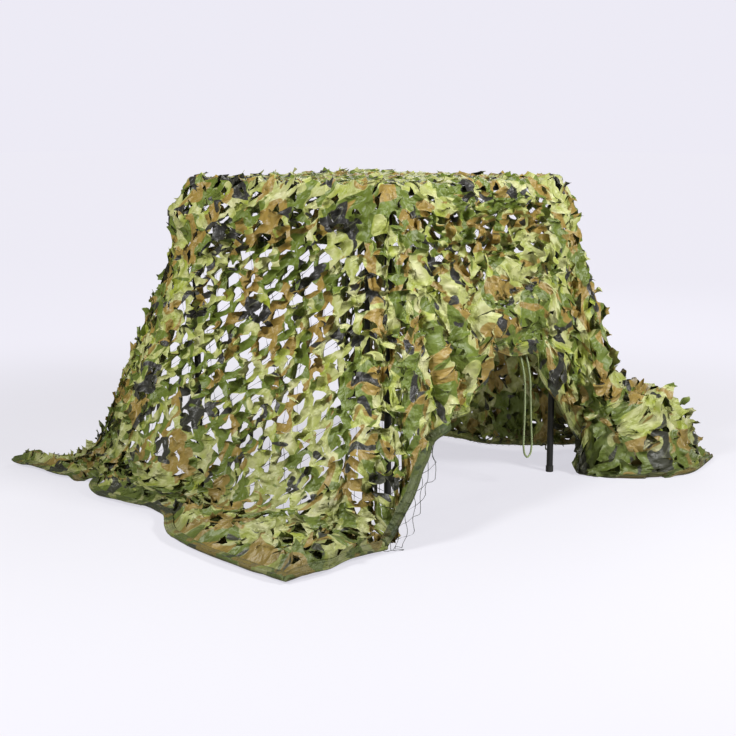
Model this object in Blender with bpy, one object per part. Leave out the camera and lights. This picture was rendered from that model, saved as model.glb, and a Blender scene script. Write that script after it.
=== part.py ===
"""A woodland camouflage net draped over a square frame of round tubes.

The net is one sheet, 3 m by 2 m, edged with tape. It lies over the four top rails and
falls to the ground on two sides and at three corners. It is lifted at the front, where a
loop of draw cord hangs from its hem, and it stops short of the ground at the back.

The working frame has its origin at the foot of the near post: +X runs along the front to
the right post, +Y along the left side to the left post and +Z up. Everything hangs under
one empty, which puts the middle of the whole plan over the origin.
"""
import math

import bpy
import numpy as np

# Sizes in metres.
NET_LONG = 3.0          # along the front
NET_WIDE = 2.0          # along the left side
CLOTH = 0.0022          # thickness of the net with its backing mesh
TAPE_WIDE = 0.042
TAPE_THICK = 0.0015
FIT_GAP = 0.0003        # between two pieces that touch

FRAME_SIDE = 0.85       # between the axes of two posts
FRAME_HEIGHT = 1.0
TUBE_RADIUS = 0.011
TUBE_SIDES = 20
FITTING_RADIUS = 0.0125
FITTING_ARM = 0.045
ARM_RADII = (0.0123, 0.0121)    # along x and y: unequal, so that the arms join cleanly
FITTING_TOP = 1.002
FOOT_RADIUS = 0.013
FOOT_HEIGHT = 0.02
RAIL_Z = FRAME_HEIGHT - TUBE_RADIUS

OVERHANG_LEFT = 1.14    # cloth beyond the left rail
OVERHANG_FRONT = 0.75   # cloth beyond the front rail
TURN_RADIUS = 0.0175    # of the cloth's middle over a rail, from the rail's axis
TURN = TURN_RADIUS * math.pi / 2
TOP_SAG = 0.022
POST_LIFT = 0.016       # how far a post's end pushes the net up
POST_LIFT_WIDTH = 0.03
TAPE_BUTT = 0.0006      # between two tapes at a corner of the net

# Cells of the net's grid before, over and after the rails.
CELLS_LONG = (15, 14, 14)
CELLS_WIDE = (11, 12, 5)

CORD_DIAMETER = 0.007
CORD_POINTS = 70

# Where the hem goes. Each row is a station on one edge of the net: how far along the edge
# it lies, its place, and landing, which is how far out from the rail the cloth meets the
# ground, as a share of the way to the hem. Where the hem hangs, landing is 1.
HEM_COLUMNS = ("along", "x", "y", "z", "landing")
HEM = {
    "front": (
        (0.00, -0.570, -0.146, 0.000, 0.44),
        (0.25, -0.350, -0.150, 0.000, 0.50),
        (0.44, -0.180, -0.155, 0.000, 0.72),
        (0.60, -0.110, -0.150, 0.080, 0.95),
        (0.80, -0.005, -0.125, 0.190, 1.00),
        (1.00, 0.110, -0.100, 0.285, 1.00),
        (1.42, 0.335, -0.060, 0.400, 1.00),
        (1.53, 0.385, -0.050, 0.487, 1.00),
        (1.68, 0.520, -0.050, 0.456, 1.00),
        (1.84, 0.670, -0.050, 0.434, 1.00),
        (1.94, 0.710, -0.055, 0.337, 1.00),
        (2.14, 0.850, -0.055, 0.180, 1.00),
        (2.28, 0.910, -0.070, 0.060, 1.00),
        (2.42, 0.955, -0.135, 0.000, 0.80),
        (2.56, 0.990, -0.250, 0.000, 0.60),
        (2.76, 1.120, -0.370, 0.000, 0.50),
        (3.00, 1.400, -0.330, 0.000, 0.45)),
    "right": (
        (0.00, 1.400, -0.330, 0.000, 0.45),
        (0.35, 1.400, -0.020, 0.000, 0.42),
        (0.75, 1.080, 0.200, 0.000, 0.50),
        (1.10, 0.980, 0.400, 0.000, 0.55),
        (1.45, 0.970, 0.700, 0.000, 0.55),
        (1.60, 0.990, 0.880, 0.000, 0.60),
        (2.00, 1.120, 1.200, 0.000, 0.75)),
    "back": (
        (0.00, -0.340, 1.470, 0.000, 0.60),
        (0.18, -0.170, 1.400, 0.000, 0.62),
        (0.45, -0.040, 1.170, 0.110, 1.00),
        (0.66, 0.000, 1.070, 0.310, 1.00),
        (0.90, 0.020, 0.975, 0.530, 1.00),
        (1.14, 0.035, 0.920, 0.700, 1.00),
        (1.35, 0.200, 0.900, 0.745, 1.00),
        (1.78, 0.650, 0.900, 0.745, 1.00),
        (1.99, 0.825, 0.920, 0.700, 1.00),
        (2.30, 0.870, 0.980, 0.470, 1.00),
        (2.55, 0.940, 1.050, 0.250, 1.00),
        (2.82, 1.030, 1.170, 0.000, 0.85),
        (3.00, 1.120, 1.200, 0.000, 0.75)),
    "left": (
        (0.00, -0.570, -0.146, 0.000, 0.44),
        (0.30, -0.565, 0.120, 0.000, 0.55),
        (0.55, -0.520, 0.376, 0.000, 0.65),
        (0.80, -0.395, 0.570, 0.000, 0.75),
        (1.20, -0.380, 0.950, 0.000, 0.75),
        (1.36, -0.285, 1.065, 0.000, 0.78),
        (1.50, -0.325, 1.155, 0.000, 0.72),
        (1.65, -0.337, 1.250, 0.000, 0.66),
        (2.00, -0.340, 1.470, 0.000, 0.60)),
}

# Folds that run down the drop: centre, half width, wave, depth, and the share of the drop
# where they start. The centre is a place on the net's perimeter, counted from the near
# corner: front 0 to 3, right 3 to 5, back 5 to 8 and left 8 to 10.
PERIMETER = 2 * (NET_LONG + NET_WIDE)
FOLDS = {
    "near_corner": (0.35, 0.70, 0.330, 0.060, 0.30),
    "curtain": (1.20, 0.42, 0.190, 0.055, 0.05),
    "beside_entrance": (2.15, 0.35, 0.200, 0.025, 0.10),
    "right_heap": (2.75, 0.55, 0.260, 0.060, 0.35),
    "right_wall": (4.10, 0.80, 0.290, 0.040, 0.10),
    "back_valance": (6.43, 0.44, 0.210, 0.035, 0.10),
    "back_corner": (8.30, 0.40, 0.260, 0.030, 0.20),
    "left_wall": (8.90, 0.70, 0.430, 0.028, 0.15),
}
GATHER_DEPTH = 0.030    # slanting folds where the front hem is lifted
GATHER_COUNT = 3.2
GATHER_SLANT = 2.2
GATHER_SPAN = (0.75, 1.35, 1.90, 2.10)

# The heap of slack cloth beside the right post.
HEAP_CENTRE = (1.22, -0.18)
HEAP_RADII = (0.18, 0.14)
HEAP_HEIGHT = 0.23

# Zones of the flat net whose leaf cuts gape: low a, high a, low b, high b, and which cells
# in a diagonal row are wide open, from every one to every third.
OPEN_ZONES = {
    "left_wall": (0.24, 1.10, 0.52, 1.62, 1),
    "front_panel": (1.20, 1.96, 0.42, 0.70, 2),
    "right_wall": (2.03, 2.60, 0.80, 1.58, 3),
}
GAP_SIZE = 0.60         # of a cell's side

# The hanging loop of draw cord, from behind the hem down and back up.
CORD_ROUTE = (
    (0.600, -0.0448, 0.4730),
    (0.600, -0.0447, 0.4560),
    (0.601, -0.0465, 0.4400),
    (0.603, -0.0520, 0.4150),
    (0.606, -0.0590, 0.3700),
    (0.608, -0.0610, 0.3100),
    (0.608, -0.0610, 0.2400),
    (0.606, -0.0610, 0.1800),
    (0.606, -0.0615, 0.1400),
    (0.614, -0.0620, 0.1140),
    (0.628, -0.0625, 0.1040),
    (0.642, -0.0625, 0.1120),
    (0.650, -0.0620, 0.1380),
    (0.649, -0.0610, 0.1800),
    (0.644, -0.0610, 0.2400),
    (0.639, -0.0610, 0.3100),
    (0.635, -0.0600, 0.3700),
    (0.633, -0.0520, 0.4150),
    (0.632, -0.0462, 0.4380),
    (0.632, -0.0447, 0.4540),
    (0.632, -0.0458, 0.4710),
)


def clear_scene():
    for item in list(bpy.data.objects):
        bpy.data.objects.remove(item, do_unlink=True)


def material(name, colour, roughness, metallic=0.0):
    made = bpy.data.materials.new(name)
    made.use_nodes = True
    shader = made.node_tree.nodes["Principled BSDF"]
    shader.inputs["Base Color"].default_value = (*colour, 1.0)
    shader.inputs["Roughness"].default_value = roughness
    shader.inputs["Metallic"].default_value = metallic
    return made


def smooth_step(value, low, high):
    share = np.clip((value - low) / (high - low), 0.0, 1.0)
    return share * share * (3.0 - 2.0 * share)


def soft_positive(value, width):
    """max(value, 0) with its corner rounded over width."""
    return width * np.logaddexp(0.0, value / width)


def hem_column(edge, name, along):
    """One column of an edge's hem table, on a smooth curve through its rows."""
    column = HEM_COLUMNS.index(name)
    stations = np.array([row[0] for row in HEM[edge]])
    values = np.array([row[column] for row in HEM[edge]])
    slopes = np.gradient(values, stations)
    index = np.clip(np.searchsorted(stations, along, side="right") - 1, 0, len(stations) - 2)
    width = stations[index + 1] - stations[index]
    share = np.clip((along - stations[index]) / width, 0.0, 1.0)
    level = values[index + 1] == values[index]
    start = np.where(level, 0.0, slopes[index]) * width
    finish = np.where(level, 0.0, slopes[index + 1]) * width
    square, cube = share**2, share**3
    return ((2 * cube - 3 * square + 1) * values[index]
            + (cube - 2 * square + share) * start
            + (3 * square - 2 * cube) * values[index + 1]
            + (cube - square) * finish)


def drape(a, b):
    """The place of the net's middle surface at flat position a, b.

    The cloth over the square of rails only sags. Any other point lies on a straight ray,
    drawn on the flat net, from the nearest point of that square out to the hem. The ray
    turns over the rail, goes straight down to where it lands and lies on the ground from
    there, so it ends at the hem's own place. Folds are added across it.
    """
    rail_a = np.clip(a, OVERHANG_LEFT, OVERHANG_LEFT + FRAME_SIDE)
    rail_b = np.clip(b, OVERHANG_FRONT, OVERHANG_FRONT + FRAME_SIDE)
    out_a, out_b = a - rail_a, b - rail_b
    reach = np.maximum(np.hypot(out_a, out_b), 1e-9)
    way_a, way_b = out_a / reach, out_b / reach
    full_a = np.where(out_a > 0, NET_LONG - OVERHANG_LEFT - FRAME_SIDE, OVERHANG_LEFT)
    full_b = np.where(out_b > 0, NET_WIDE - OVERHANG_FRONT - FRAME_SIDE, OVERHANG_FRONT)
    share_a, share_b = np.abs(out_a) / full_a, np.abs(out_b) / full_b
    share = np.maximum(np.maximum(share_a, share_b), 1e-9)
    edge_a = np.clip(rail_a + out_a / share, 0.0, NET_LONG)
    edge_b = np.clip(rail_b + out_b / share, 0.0, NET_WIDE)
    ray_length = reach / share

    to_side = share_a >= share_b
    edges = {
        "left": (to_side & (out_a <= 0), edge_b, PERIMETER - edge_b),
        "right": (to_side & (out_a > 0), edge_b, NET_LONG + edge_b),
        "front": (~to_side & (out_b <= 0), edge_a, edge_a),
        "back": (~to_side & (out_b > 0), edge_a, 2 * NET_LONG + NET_WIDE - edge_a),
    }
    chosen = [edge[0] for edge in edges.values()]
    perimeter = np.select(chosen, [edge[2] for edge in edges.values()])
    hem_x, hem_y, hem_z, landing = (
        np.select(chosen, [hem_column(edge, name, edges[edge][1]) for edge in edges])
        for name in HEM_COLUMNS[1:])

    # From the shoulder, where the cloth leaves the rail, to the hem.
    rail_x, rail_y = rail_a - OVERHANG_LEFT, rail_b - OVERHANG_FRONT
    start_x = rail_x + way_a * TURN_RADIUS
    start_y = rail_y + way_b * TURN_RADIUS
    end_z = np.maximum(hem_z, CLOTH / 2)
    height = RAIL_Z - end_z
    across = np.maximum(np.hypot(hem_x - start_x, hem_y - start_y), 1e-6)
    heading_x, heading_y = (hem_x - start_x) / across, (hem_y - start_y) / across
    hanging = smooth_step(hem_z, 0.0, 0.12)
    landed = across * (np.clip(landing, 0.05, 1.0) * (1 - hanging) + hanging)
    fall = np.hypot(landed, height)
    flat_run = across - landed
    rounding = np.minimum(0.07, flat_run / 3) + 1e-4
    down = np.clip((reach - TURN) / np.maximum(ray_length - TURN, 1e-6), 0.0, 1.0)
    travelled = down * (fall + flat_run)
    run = landed / fall * travelled
    run += (1 - landed / fall) * soft_positive(travelled - fall, rounding)
    x = start_x + heading_x * run
    y = start_y + heading_y * run
    z = end_z + height / fall * soft_positive(fall - travelled, rounding)
    past_landing = np.clip((travelled - fall) / rounding, -40, 40)
    lying = (1 - hanging) / (1 + np.exp(-past_landing))

    # Folds stand out from the ray, as humps where the cloth lies on the ground, and so do
    # the slanting gathers. Then comes the heap.
    fold = np.zeros_like(x)
    for centre, half_width, wave, depth, starts in FOLDS.values():
        offset = (perimeter - centre + PERIMETER / 2) % PERIMETER - PERIMETER / 2
        size = depth * smooth_step(1 - np.abs(offset) / half_width, 0.0, 0.6)
        size = size * smooth_step(down, starts, 1.0) * (1 - 0.5 * smooth_step(down, 0.8, 1.0))
        fold += size * (1 + np.sin(2 * math.pi * offset / wave)) / 2
    begin, full, fade, gone = GATHER_SPAN
    lifted = smooth_step(perimeter, begin, full) * (1 - smooth_step(perimeter, fade, gone))
    lifted = lifted * smooth_step(down, 0.05, 0.4) * smooth_step(1 - down, 0.0, 0.15)
    slant = np.sin(2 * math.pi * (down * GATHER_COUNT + perimeter * GATHER_SLANT))
    sideways = fold * (1 - lying) + GATHER_DEPTH * lifted * (1 + slant) / 2
    x = x + way_a * sideways
    y = y + way_b * sideways
    near_hem = smooth_step(1 - down, 0.0, 0.12)
    wrinkle = 0.006 * (1 + np.sin(23 * x + 11 * y) * np.sin(17 * y - 9 * x))
    z = z + lying * near_hem * (fold / 2 + wrinkle)
    off_centre = ((x - HEAP_CENTRE[0]) / HEAP_RADII[0])**2
    off_centre = off_centre + ((y - HEAP_CENTRE[1]) / HEAP_RADII[1])**2
    heap = HEAP_HEIGHT * np.exp(-off_centre / 2) * smooth_step(1 - down, 0.0, 0.16)
    z = z + heap * smooth_step(0.35 - z, 0.0, 0.3)

    # The turn over the rail, and the top.
    turning = reach < TURN
    angle = np.minimum(reach / TURN_RADIUS, math.pi / 2)
    x = np.where(turning, rail_x + way_a * TURN_RADIUS * np.sin(angle), x)
    y = np.where(turning, rail_y + way_b * TURN_RADIUS * np.sin(angle), y)
    z = np.where(turning, RAIL_Z + TURN_RADIUS * np.cos(angle), z)
    middle = 16 * rail_x * (FRAME_SIDE - rail_x) * rail_y * (FRAME_SIDE - rail_y)
    middle = np.clip(middle / FRAME_SIDE**4, 0.0, 1.0)
    z = z - TOP_SAG * middle**0.8
    for post_x in (0.0, FRAME_SIDE):
        for post_y in (0.0, FRAME_SIDE):
            away = (a - OVERHANG_LEFT - post_x)**2 + (b - OVERHANG_FRONT - post_y)**2
            z = z + POST_LIFT * np.exp(-away / (2 * POST_LIFT_WIDTH**2))
    return np.stack([x, y, z], axis=-1)


def grid_lines(size, overhang, cells):
    """Lines across the flat net: tape, drop, turn over a rail, top, turn, drop, tape."""
    first, second = overhang, overhang + FRAME_SIDE
    before, top, after = cells
    return np.concatenate([
        [0.0],
        np.linspace(TAPE_WIDE, first - TURN, before + 1),
        [first - TURN / 2],
        np.linspace(first, second, top + 1),
        [second + TURN / 2],
        np.linspace(second + TURN, size - TAPE_WIDE, after + 1),
        [size],
    ])


def grid_triangles(rows, columns):
    """Two triangles for each square of a grid, as numbers of its points."""
    first = (np.arange(rows - 1)[:, None] * columns + np.arange(columns - 1)).ravel()
    second, third, fourth = first + columns, first + columns + 1, first + 1
    return np.concatenate([np.column_stack([first, second, third]),
                           np.column_stack([first, third, fourth])])


def grid_normals(places):
    """Unit normals at a grid's points, each the mean of the triangles that meet there."""
    rows, columns = places.shape[:2]
    flat = places.reshape(-1, 3)
    triangles = grid_triangles(rows, columns)
    corners = flat[triangles]
    across = np.cross(corners[:, 1] - corners[:, 0], corners[:, 2] - corners[:, 0])
    across /= np.linalg.norm(across, axis=1, keepdims=True)
    total = np.zeros_like(flat)
    for corner in range(3):
        np.add.at(total, triangles[:, corner], across)
    total /= np.linalg.norm(total, axis=1, keepdims=True)
    return total.reshape(places.shape)


def in_open_zone(a, b, count):
    for a_low, a_high, b_low, b_high, every in OPEN_ZONES.values():
        if a_low < a < a_high and b_low < b < b_high:
            return count % every == 0
    return False


def cell_gap(column, row):
    """A three-cornered gap in a cell's own square, and the side that its base is on."""
    size = GAP_SIZE * (1 + 0.14 * math.sin(12.9 * column + 7.3 * row))
    lean = 0.16 * math.sin(5.1 * column - 9.7 * row)
    low, high = 0.5 - size / 2, 0.5 + size / 2
    corners = [(low, low), (high, low + 0.05), (0.5 + lean, high)]
    quarter_turns = (column + 2 * row + column * row) % 4
    for _ in range(quarter_turns):
        corners = [(1 - v, u) for u, v in corners]
    return corners, quarter_turns


def thicken(name, places, normals, triangles, low, high, finish):
    """Give a sheet of triangles its thickness, from low to high along the normals."""
    count = len(places)
    points = np.concatenate([places + normals * high, places + normals * low])
    points[:, 2] = np.maximum(points[:, 2], 0.0)
    faces = list(triangles)
    faces += [(r + count, q + count, p + count) for p, q, r in triangles]
    borders = set()
    for p, q, r in triangles:
        borders |= {(p, q), (q, r), (r, p)}
    for p, q in sorted(borders):
        if (q, p) not in borders:
            faces.append((q, p, p + count))
            faces.append((q, p + count, q + count))
    mesh = bpy.data.meshes.new(name)
    mesh.from_pydata(points.tolist(), [], faces)
    mesh.materials.append(finish)
    mesh.shade_smooth()
    return place(name, mesh)


def net_sheet(name, a_lines, b_lines, places, normals, finish):
    """The whole net, with a three-cornered gap in each cell whose leaf cut is wide open."""
    columns = len(b_lines)
    triangles = []
    gap_spots, gap_normals = [], []
    for i in range(len(a_lines) - 1):
        for j in range(columns - 1):
            ring = [i * columns + j, (i + 1) * columns + j,
                    (i + 1) * columns + j + 1, i * columns + j + 1]
            span_a, span_b = a_lines[i + 1] - a_lines[i], b_lines[j + 1] - b_lines[j]
            if not in_open_zone(a_lines[i] + span_a / 2, b_lines[j] + span_b / 2, i + j):
                p, q, r, s = ring
                triangles += [(p, q, r), (p, r, s)]
                continue
            corners, turned = cell_gap(i, j)
            t = places.shape[0] * columns + len(gap_spots)
            u, v = t + 1, t + 2
            p, q, r, s = ring[turned:] + ring[:turned]
            triangles += [(p, q, u), (p, u, t), (q, r, u), (r, v, u), (r, s, v),
                          (s, t, v), (s, p, t)]
            gap_spots += [(a_lines[i] + x * span_a, b_lines[j] + y * span_b) for x, y in corners]
            gap_normals += [normals[i:i + 2, j:j + 2].reshape(4, 3).mean(axis=0)] * 3
    spots = np.array(gap_spots)
    every_place = np.concatenate([places.reshape(-1, 3), drape(spots[:, 0], spots[:, 1])])
    every_normal = np.concatenate([normals.reshape(-1, 3), gap_normals])
    return thicken(name, every_place, every_normal, triangles, -CLOTH / 2, CLOTH / 2, finish)


def tape_strip(name, places, normals, finish):
    """A strip of edge tape over one row of the net's grid, on its outer face."""
    rows, columns = places.shape[:2]
    triangles = [tuple(corner) for corner in grid_triangles(rows, columns).tolist()]
    low = CLOTH / 2 + FIT_GAP
    return thicken(name, places.reshape(-1, 3), normals.reshape(-1, 3), triangles,
                   low, low + TAPE_THICK, finish)


def place(name, mesh):
    made = bpy.data.objects.new(name, mesh)
    bpy.context.collection.objects.link(made)
    made.parent = shelter
    return made


def tube_mesh(name, radius, length, finish):
    """A closed round bar along +Z from the origin."""
    angles = np.linspace(0, 2 * math.pi, TUBE_SIDES, endpoint=False)
    ring = [(radius * math.cos(t), radius * math.sin(t)) for t in angles]
    points = [(x, y, 0.0) for x, y in ring] + [(x, y, length) for x, y in ring]
    sides = [(k, (k + 1) % TUBE_SIDES) for k in range(TUBE_SIDES)]
    faces = [(p, q, q + TUBE_SIDES, p + TUBE_SIDES) for p, q in sides]
    faces.append(tuple(range(TUBE_SIDES))[::-1])
    faces.append(tuple(range(TUBE_SIDES, 2 * TUBE_SIDES)))
    mesh = bpy.data.meshes.new(name)
    mesh.from_pydata(points, [], faces)
    mesh.materials.append(finish)
    mesh.shade_smooth()
    mesh.set_sharp_from_angle(angle=math.radians(40))
    return mesh


def tube(name, start, direction, radius, length, finish):
    """A round bar from start, along +X, +Y or +Z."""
    made = place(name, tube_mesh(name, radius, length, finish))
    made.location = start
    made.rotation_euler = {"x": (0, math.pi / 2, 0), "y": (-math.pi / 2, 0, 0),
                           "z": (0, 0, 0)}[direction]
    return made


def corner_fitting(name, x, y, finish):
    """A three-way elbow: a collar on the post with one arm along each rail."""
    drop = FITTING_ARM
    body = tube(name, (x, y, RAIL_Z - drop), "z", FITTING_RADIUS,
                FITTING_TOP - RAIL_Z + drop, finish)
    low_x = x - 0.002 if x == 0 else x - FITTING_ARM
    low_y = y - 0.003 if y == 0 else y - FITTING_ARM
    long_x, long_y = FITTING_ARM + 0.002, FITTING_ARM + 0.003
    arms = (tube(name + "_arm_x", (low_x, y, RAIL_Z), "x", ARM_RADII[0], long_x, finish),
            tube(name + "_arm_y", (x, low_y, RAIL_Z), "y", ARM_RADII[1], long_y, finish))
    for arm in arms:
        arm.hide_render = True
        arm.display_type = "WIRE"
        joined = body.modifiers.new(arm.name, "BOOLEAN")
        joined.operation = "UNION"
        joined.object = arm
    return body


def draw_cord(finish):
    """The loop of draw cord: a smooth curve through the route's points."""
    route = np.array(CORD_ROUTE)
    steps = np.concatenate([[0], np.cumsum(np.linalg.norm(np.diff(route, axis=0), axis=1))])
    slopes = np.gradient(route, steps, axis=0)
    wanted = np.linspace(0, steps[-1], CORD_POINTS)
    index = np.clip(np.searchsorted(steps, wanted, side="right") - 1, 0, len(steps) - 2)
    width = (steps[index + 1] - steps[index])[:, None]
    share = (wanted - steps[index])[:, None] / width
    points = ((2 * share**3 - 3 * share**2 + 1) * route[index]
              + (share**3 - 2 * share**2 + share) * width * slopes[index]
              + (3 * share**2 - 2 * share**3) * route[index + 1]
              + (share**3 - share**2) * width * slopes[index + 1])
    curve = bpy.data.curves.new("draw_cord", "CURVE")
    curve.dimensions = "3D"
    curve.bevel_depth = CORD_DIAMETER / 2
    curve.bevel_resolution = 2
    curve.use_fill_caps = True
    spline = curve.splines.new("POLY")
    spline.points.add(CORD_POINTS - 1)
    spline.points.foreach_set("co", np.column_stack([points, np.ones(CORD_POINTS)]).ravel())
    curve.materials.append(finish)
    return place("draw_cord", curve)


def build_cloth():
    net_finish = material("leaf_cut_cloth", (0.22, 0.30, 0.07), 0.75)
    tape_finish = material("edge_tape", (0.16, 0.20, 0.07), 0.8)
    a_lines = grid_lines(NET_LONG, OVERHANG_LEFT, CELLS_LONG)
    b_lines = grid_lines(NET_WIDE, OVERHANG_FRONT, CELLS_WIDE)
    places = drape(*np.meshgrid(a_lines, b_lines, indexing="ij"))
    normals = grid_normals(places)
    pieces = [net_sheet("net_cloth", a_lines, b_lines, places, normals, net_finish)]
    for name, edge in (("tape_front", slice(0, 2)), ("tape_back", slice(-2, None))):
        pieces.append(tape_strip(name, places[:, edge], normals[:, edge], tape_finish))
    for name, edge in (("tape_left", slice(0, 2)), ("tape_right", slice(-2, None))):
        between = places[edge, 1:-1].copy()
        for end, inner in ((0, 1), (-1, -2)):
            inwards = between[:, inner] - between[:, end]
            inwards /= np.linalg.norm(inwards, axis=1, keepdims=True)
            between[:, end] += inwards * TAPE_BUTT
        pieces.append(tape_strip(name, between, normals[edge, 1:-1], tape_finish))
    return pieces


def build_frame():
    paint = material("black_tube", (0.012, 0.012, 0.013), 0.3, 0.5)
    plastic = material("black_fitting", (0.015, 0.015, 0.015), 0.5)
    rubber = material("black_foot", (0.02, 0.02, 0.02), 0.8)
    posts = {"near": (0.0, 0.0), "right": (FRAME_SIDE, 0.0),
             "left": (0.0, FRAME_SIDE), "far": (FRAME_SIDE, FRAME_SIDE)}
    post_length = RAIL_Z - FITTING_ARM - FOOT_HEIGHT - 2 * FIT_GAP
    for side, (x, y) in posts.items():
        tube("foot_" + side, (x, y, 0.0), "z", FOOT_RADIUS, FOOT_HEIGHT, rubber)
        tube("post_" + side, (x, y, FOOT_HEIGHT + FIT_GAP), "z", TUBE_RADIUS, post_length, paint)
        corner_fitting("fitting_" + side, x, y, plastic)
    start = FITTING_ARM + FIT_GAP
    length = FRAME_SIDE - 2 * start
    tube("rail_front", (start, 0.0, RAIL_Z), "x", TUBE_RADIUS, length, paint)
    tube("rail_back", (start, FRAME_SIDE, RAIL_Z), "x", TUBE_RADIUS, length, paint)
    tube("rail_left", (0.0, start, RAIL_Z), "y", TUBE_RADIUS, length, paint)
    tube("rail_right", (FRAME_SIDE, start, RAIL_Z), "y", TUBE_RADIUS, length, paint)


def centre_plan(pieces):
    """Move everything so that the middle of the cloth's plan stands over the origin."""
    points = []
    for piece in pieces:
        flat = np.empty(len(piece.data.vertices) * 3)
        piece.data.vertices.foreach_get("co", flat)
        points.append(flat.reshape(-1, 3))
    points = np.concatenate(points)
    middle = (points.min(axis=0) + points.max(axis=0)) / 2
    shelter.location = (-middle[0], -middle[1], 0.0)


clear_scene()
shelter = bpy.data.objects.new("shelter", None)
bpy.context.collection.objects.link(shelter)
cloth_pieces = build_cloth()
build_frame()
draw_cord(material("sage_cord", (0.42, 0.47, 0.33), 0.85))
centre_plan(cloth_pieces)
bpy.context.view_layer.update()
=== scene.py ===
"""A woodland camouflage net over a square frame of black tubes, on a pale studio floor."""
import math
from types import SimpleNamespace

import bpy
import numpy as np
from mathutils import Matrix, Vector


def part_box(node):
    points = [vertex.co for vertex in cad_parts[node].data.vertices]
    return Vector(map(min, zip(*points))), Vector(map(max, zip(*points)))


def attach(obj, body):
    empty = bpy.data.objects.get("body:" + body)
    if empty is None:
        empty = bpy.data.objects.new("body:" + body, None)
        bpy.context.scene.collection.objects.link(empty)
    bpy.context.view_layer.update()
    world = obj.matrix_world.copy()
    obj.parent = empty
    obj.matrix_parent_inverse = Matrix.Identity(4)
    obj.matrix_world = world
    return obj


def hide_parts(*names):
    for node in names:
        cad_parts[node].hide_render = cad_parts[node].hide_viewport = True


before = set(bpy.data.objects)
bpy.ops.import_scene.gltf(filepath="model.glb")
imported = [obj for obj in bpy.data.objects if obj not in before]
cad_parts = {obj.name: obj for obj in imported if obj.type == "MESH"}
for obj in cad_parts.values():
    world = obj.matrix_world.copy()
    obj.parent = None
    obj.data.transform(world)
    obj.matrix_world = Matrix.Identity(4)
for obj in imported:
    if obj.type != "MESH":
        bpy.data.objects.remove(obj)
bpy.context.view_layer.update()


# --- Camera ---------------------------------------------------------------------------
# A normal lens about 3.8 m from the near post, a little above the net's top and tilted
# down, so that it looks at the near corner between the left wall and the lifted front.
POST_LOW, POST_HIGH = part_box("post_near")
CORNER = np.array([(POST_LOW.x + POST_HIGH.x) / 2, (POST_LOW.y + POST_HIGH.y) / 2, 0.0])
CAMERA_FROM_CORNER = (-2.889, -2.530, 1.198)
CAMERA_HEADING = (0.742, 0.670)
CAMERA_PITCH = math.radians(10.57)
CAMERA_LENS = 65.2

camera = bpy.data.objects.new("camera", bpy.data.cameras.new("camera"))
bpy.context.scene.collection.objects.link(camera)
camera.location = CORNER + CAMERA_FROM_CORNER
looking = Vector((*(np.array(CAMERA_HEADING) * math.cos(CAMERA_PITCH)), -math.sin(CAMERA_PITCH)))
camera.rotation_euler = looking.to_track_quat("-Z", "Y").to_euler()
camera.data.lens = CAMERA_LENS
bpy.context.scene.camera = camera


# --- Draw cord ------------------------------------------------------------------------
# A loop of sage polypropylene cord, 7 mm thick, laid from three strands. Both of its ends
# are tied in behind the front hem, and the loop hangs free under its own weight.
CORD_DIAMETER = 0.007
CORD_STRANDS = 3
CORD_LAY = 0.021        # length of one full turn of the strands
CORD_COLOUR = (0.30, 0.36, 0.19)
CORD_ROUTE = (
    (0.600, -0.0448, 0.4730),
    (0.600, -0.0447, 0.4560),
    (0.601, -0.0465, 0.4400),
    (0.603, -0.0520, 0.4150),
    (0.606, -0.0590, 0.3700),
    (0.608, -0.0610, 0.3100),
    (0.608, -0.0610, 0.2400),
    (0.606, -0.0610, 0.1800),
    (0.606, -0.0615, 0.1400),
    (0.614, -0.0620, 0.1140),
    (0.628, -0.0625, 0.1040),
    (0.642, -0.0625, 0.1120),
    (0.650, -0.0620, 0.1380),
    (0.649, -0.0610, 0.1800),
    (0.644, -0.0610, 0.2400),
    (0.639, -0.0610, 0.3100),
    (0.635, -0.0600, 0.3700),
    (0.633, -0.0520, 0.4150),
    (0.632, -0.0462, 0.4380),
    (0.632, -0.0447, 0.4540),
    (0.632, -0.0458, 0.4710),
)


def curve_through(route, count):
    """A smooth curve through a route's points: cubic pieces whose slopes are the route's own."""
    route = np.array(route)
    steps = np.concatenate([[0], np.cumsum(np.linalg.norm(np.diff(route, axis=0), axis=1))])
    slopes = np.gradient(route, steps, axis=0)
    wanted = np.linspace(0, steps[-1], count)
    index = np.clip(np.searchsorted(steps, wanted, side="right") - 1, 0, len(steps) - 2)
    width = (steps[index + 1] - steps[index])[:, None]
    share = (wanted - steps[index])[:, None] / width
    return ((2 * share**3 - 3 * share**2 + 1) * route[index]
            + (share**3 - 2 * share**2 + share) * width * slopes[index]
            + (3 * share**2 - 2 * share**3) * route[index + 1]
            + (share**3 - share**2) * width * slopes[index + 1])


def grid_faces(rows, columns, closed=False):
    """Quads over a grid of points, joined round from the last column to the first if closed."""
    last = columns if closed else columns - 1
    row, column = np.meshgrid(np.arange(rows - 1), np.arange(last), indexing="ij")
    ahead = (column + 1) % columns
    return np.stack([row * columns + column, row * columns + ahead,
                     (row + 1) * columns + ahead, (row + 1) * columns + column],
                    axis=-1).reshape(-1, 4)


def closed_tube(rings, sides):
    """Triangles round a tube whose first and last rings are each drawn into one point.

    With them goes the slice of the tube's points that they use, with no point twice.
    """
    quads = grid_faces(rings, sides, closed=True)
    faces = np.concatenate([quads[:, :3], quads[:, [0, 2, 3]]])
    faces = np.clip(faces - (sides - 1), 0, (rings - 2) * sides + 1)
    distinct = ((faces[:, 0] != faces[:, 1]) & (faces[:, 1] != faces[:, 2])
                & (faces[:, 2] != faces[:, 0]))
    return faces[distinct], slice(sides - 1, (rings - 1) * sides + 1)


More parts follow.
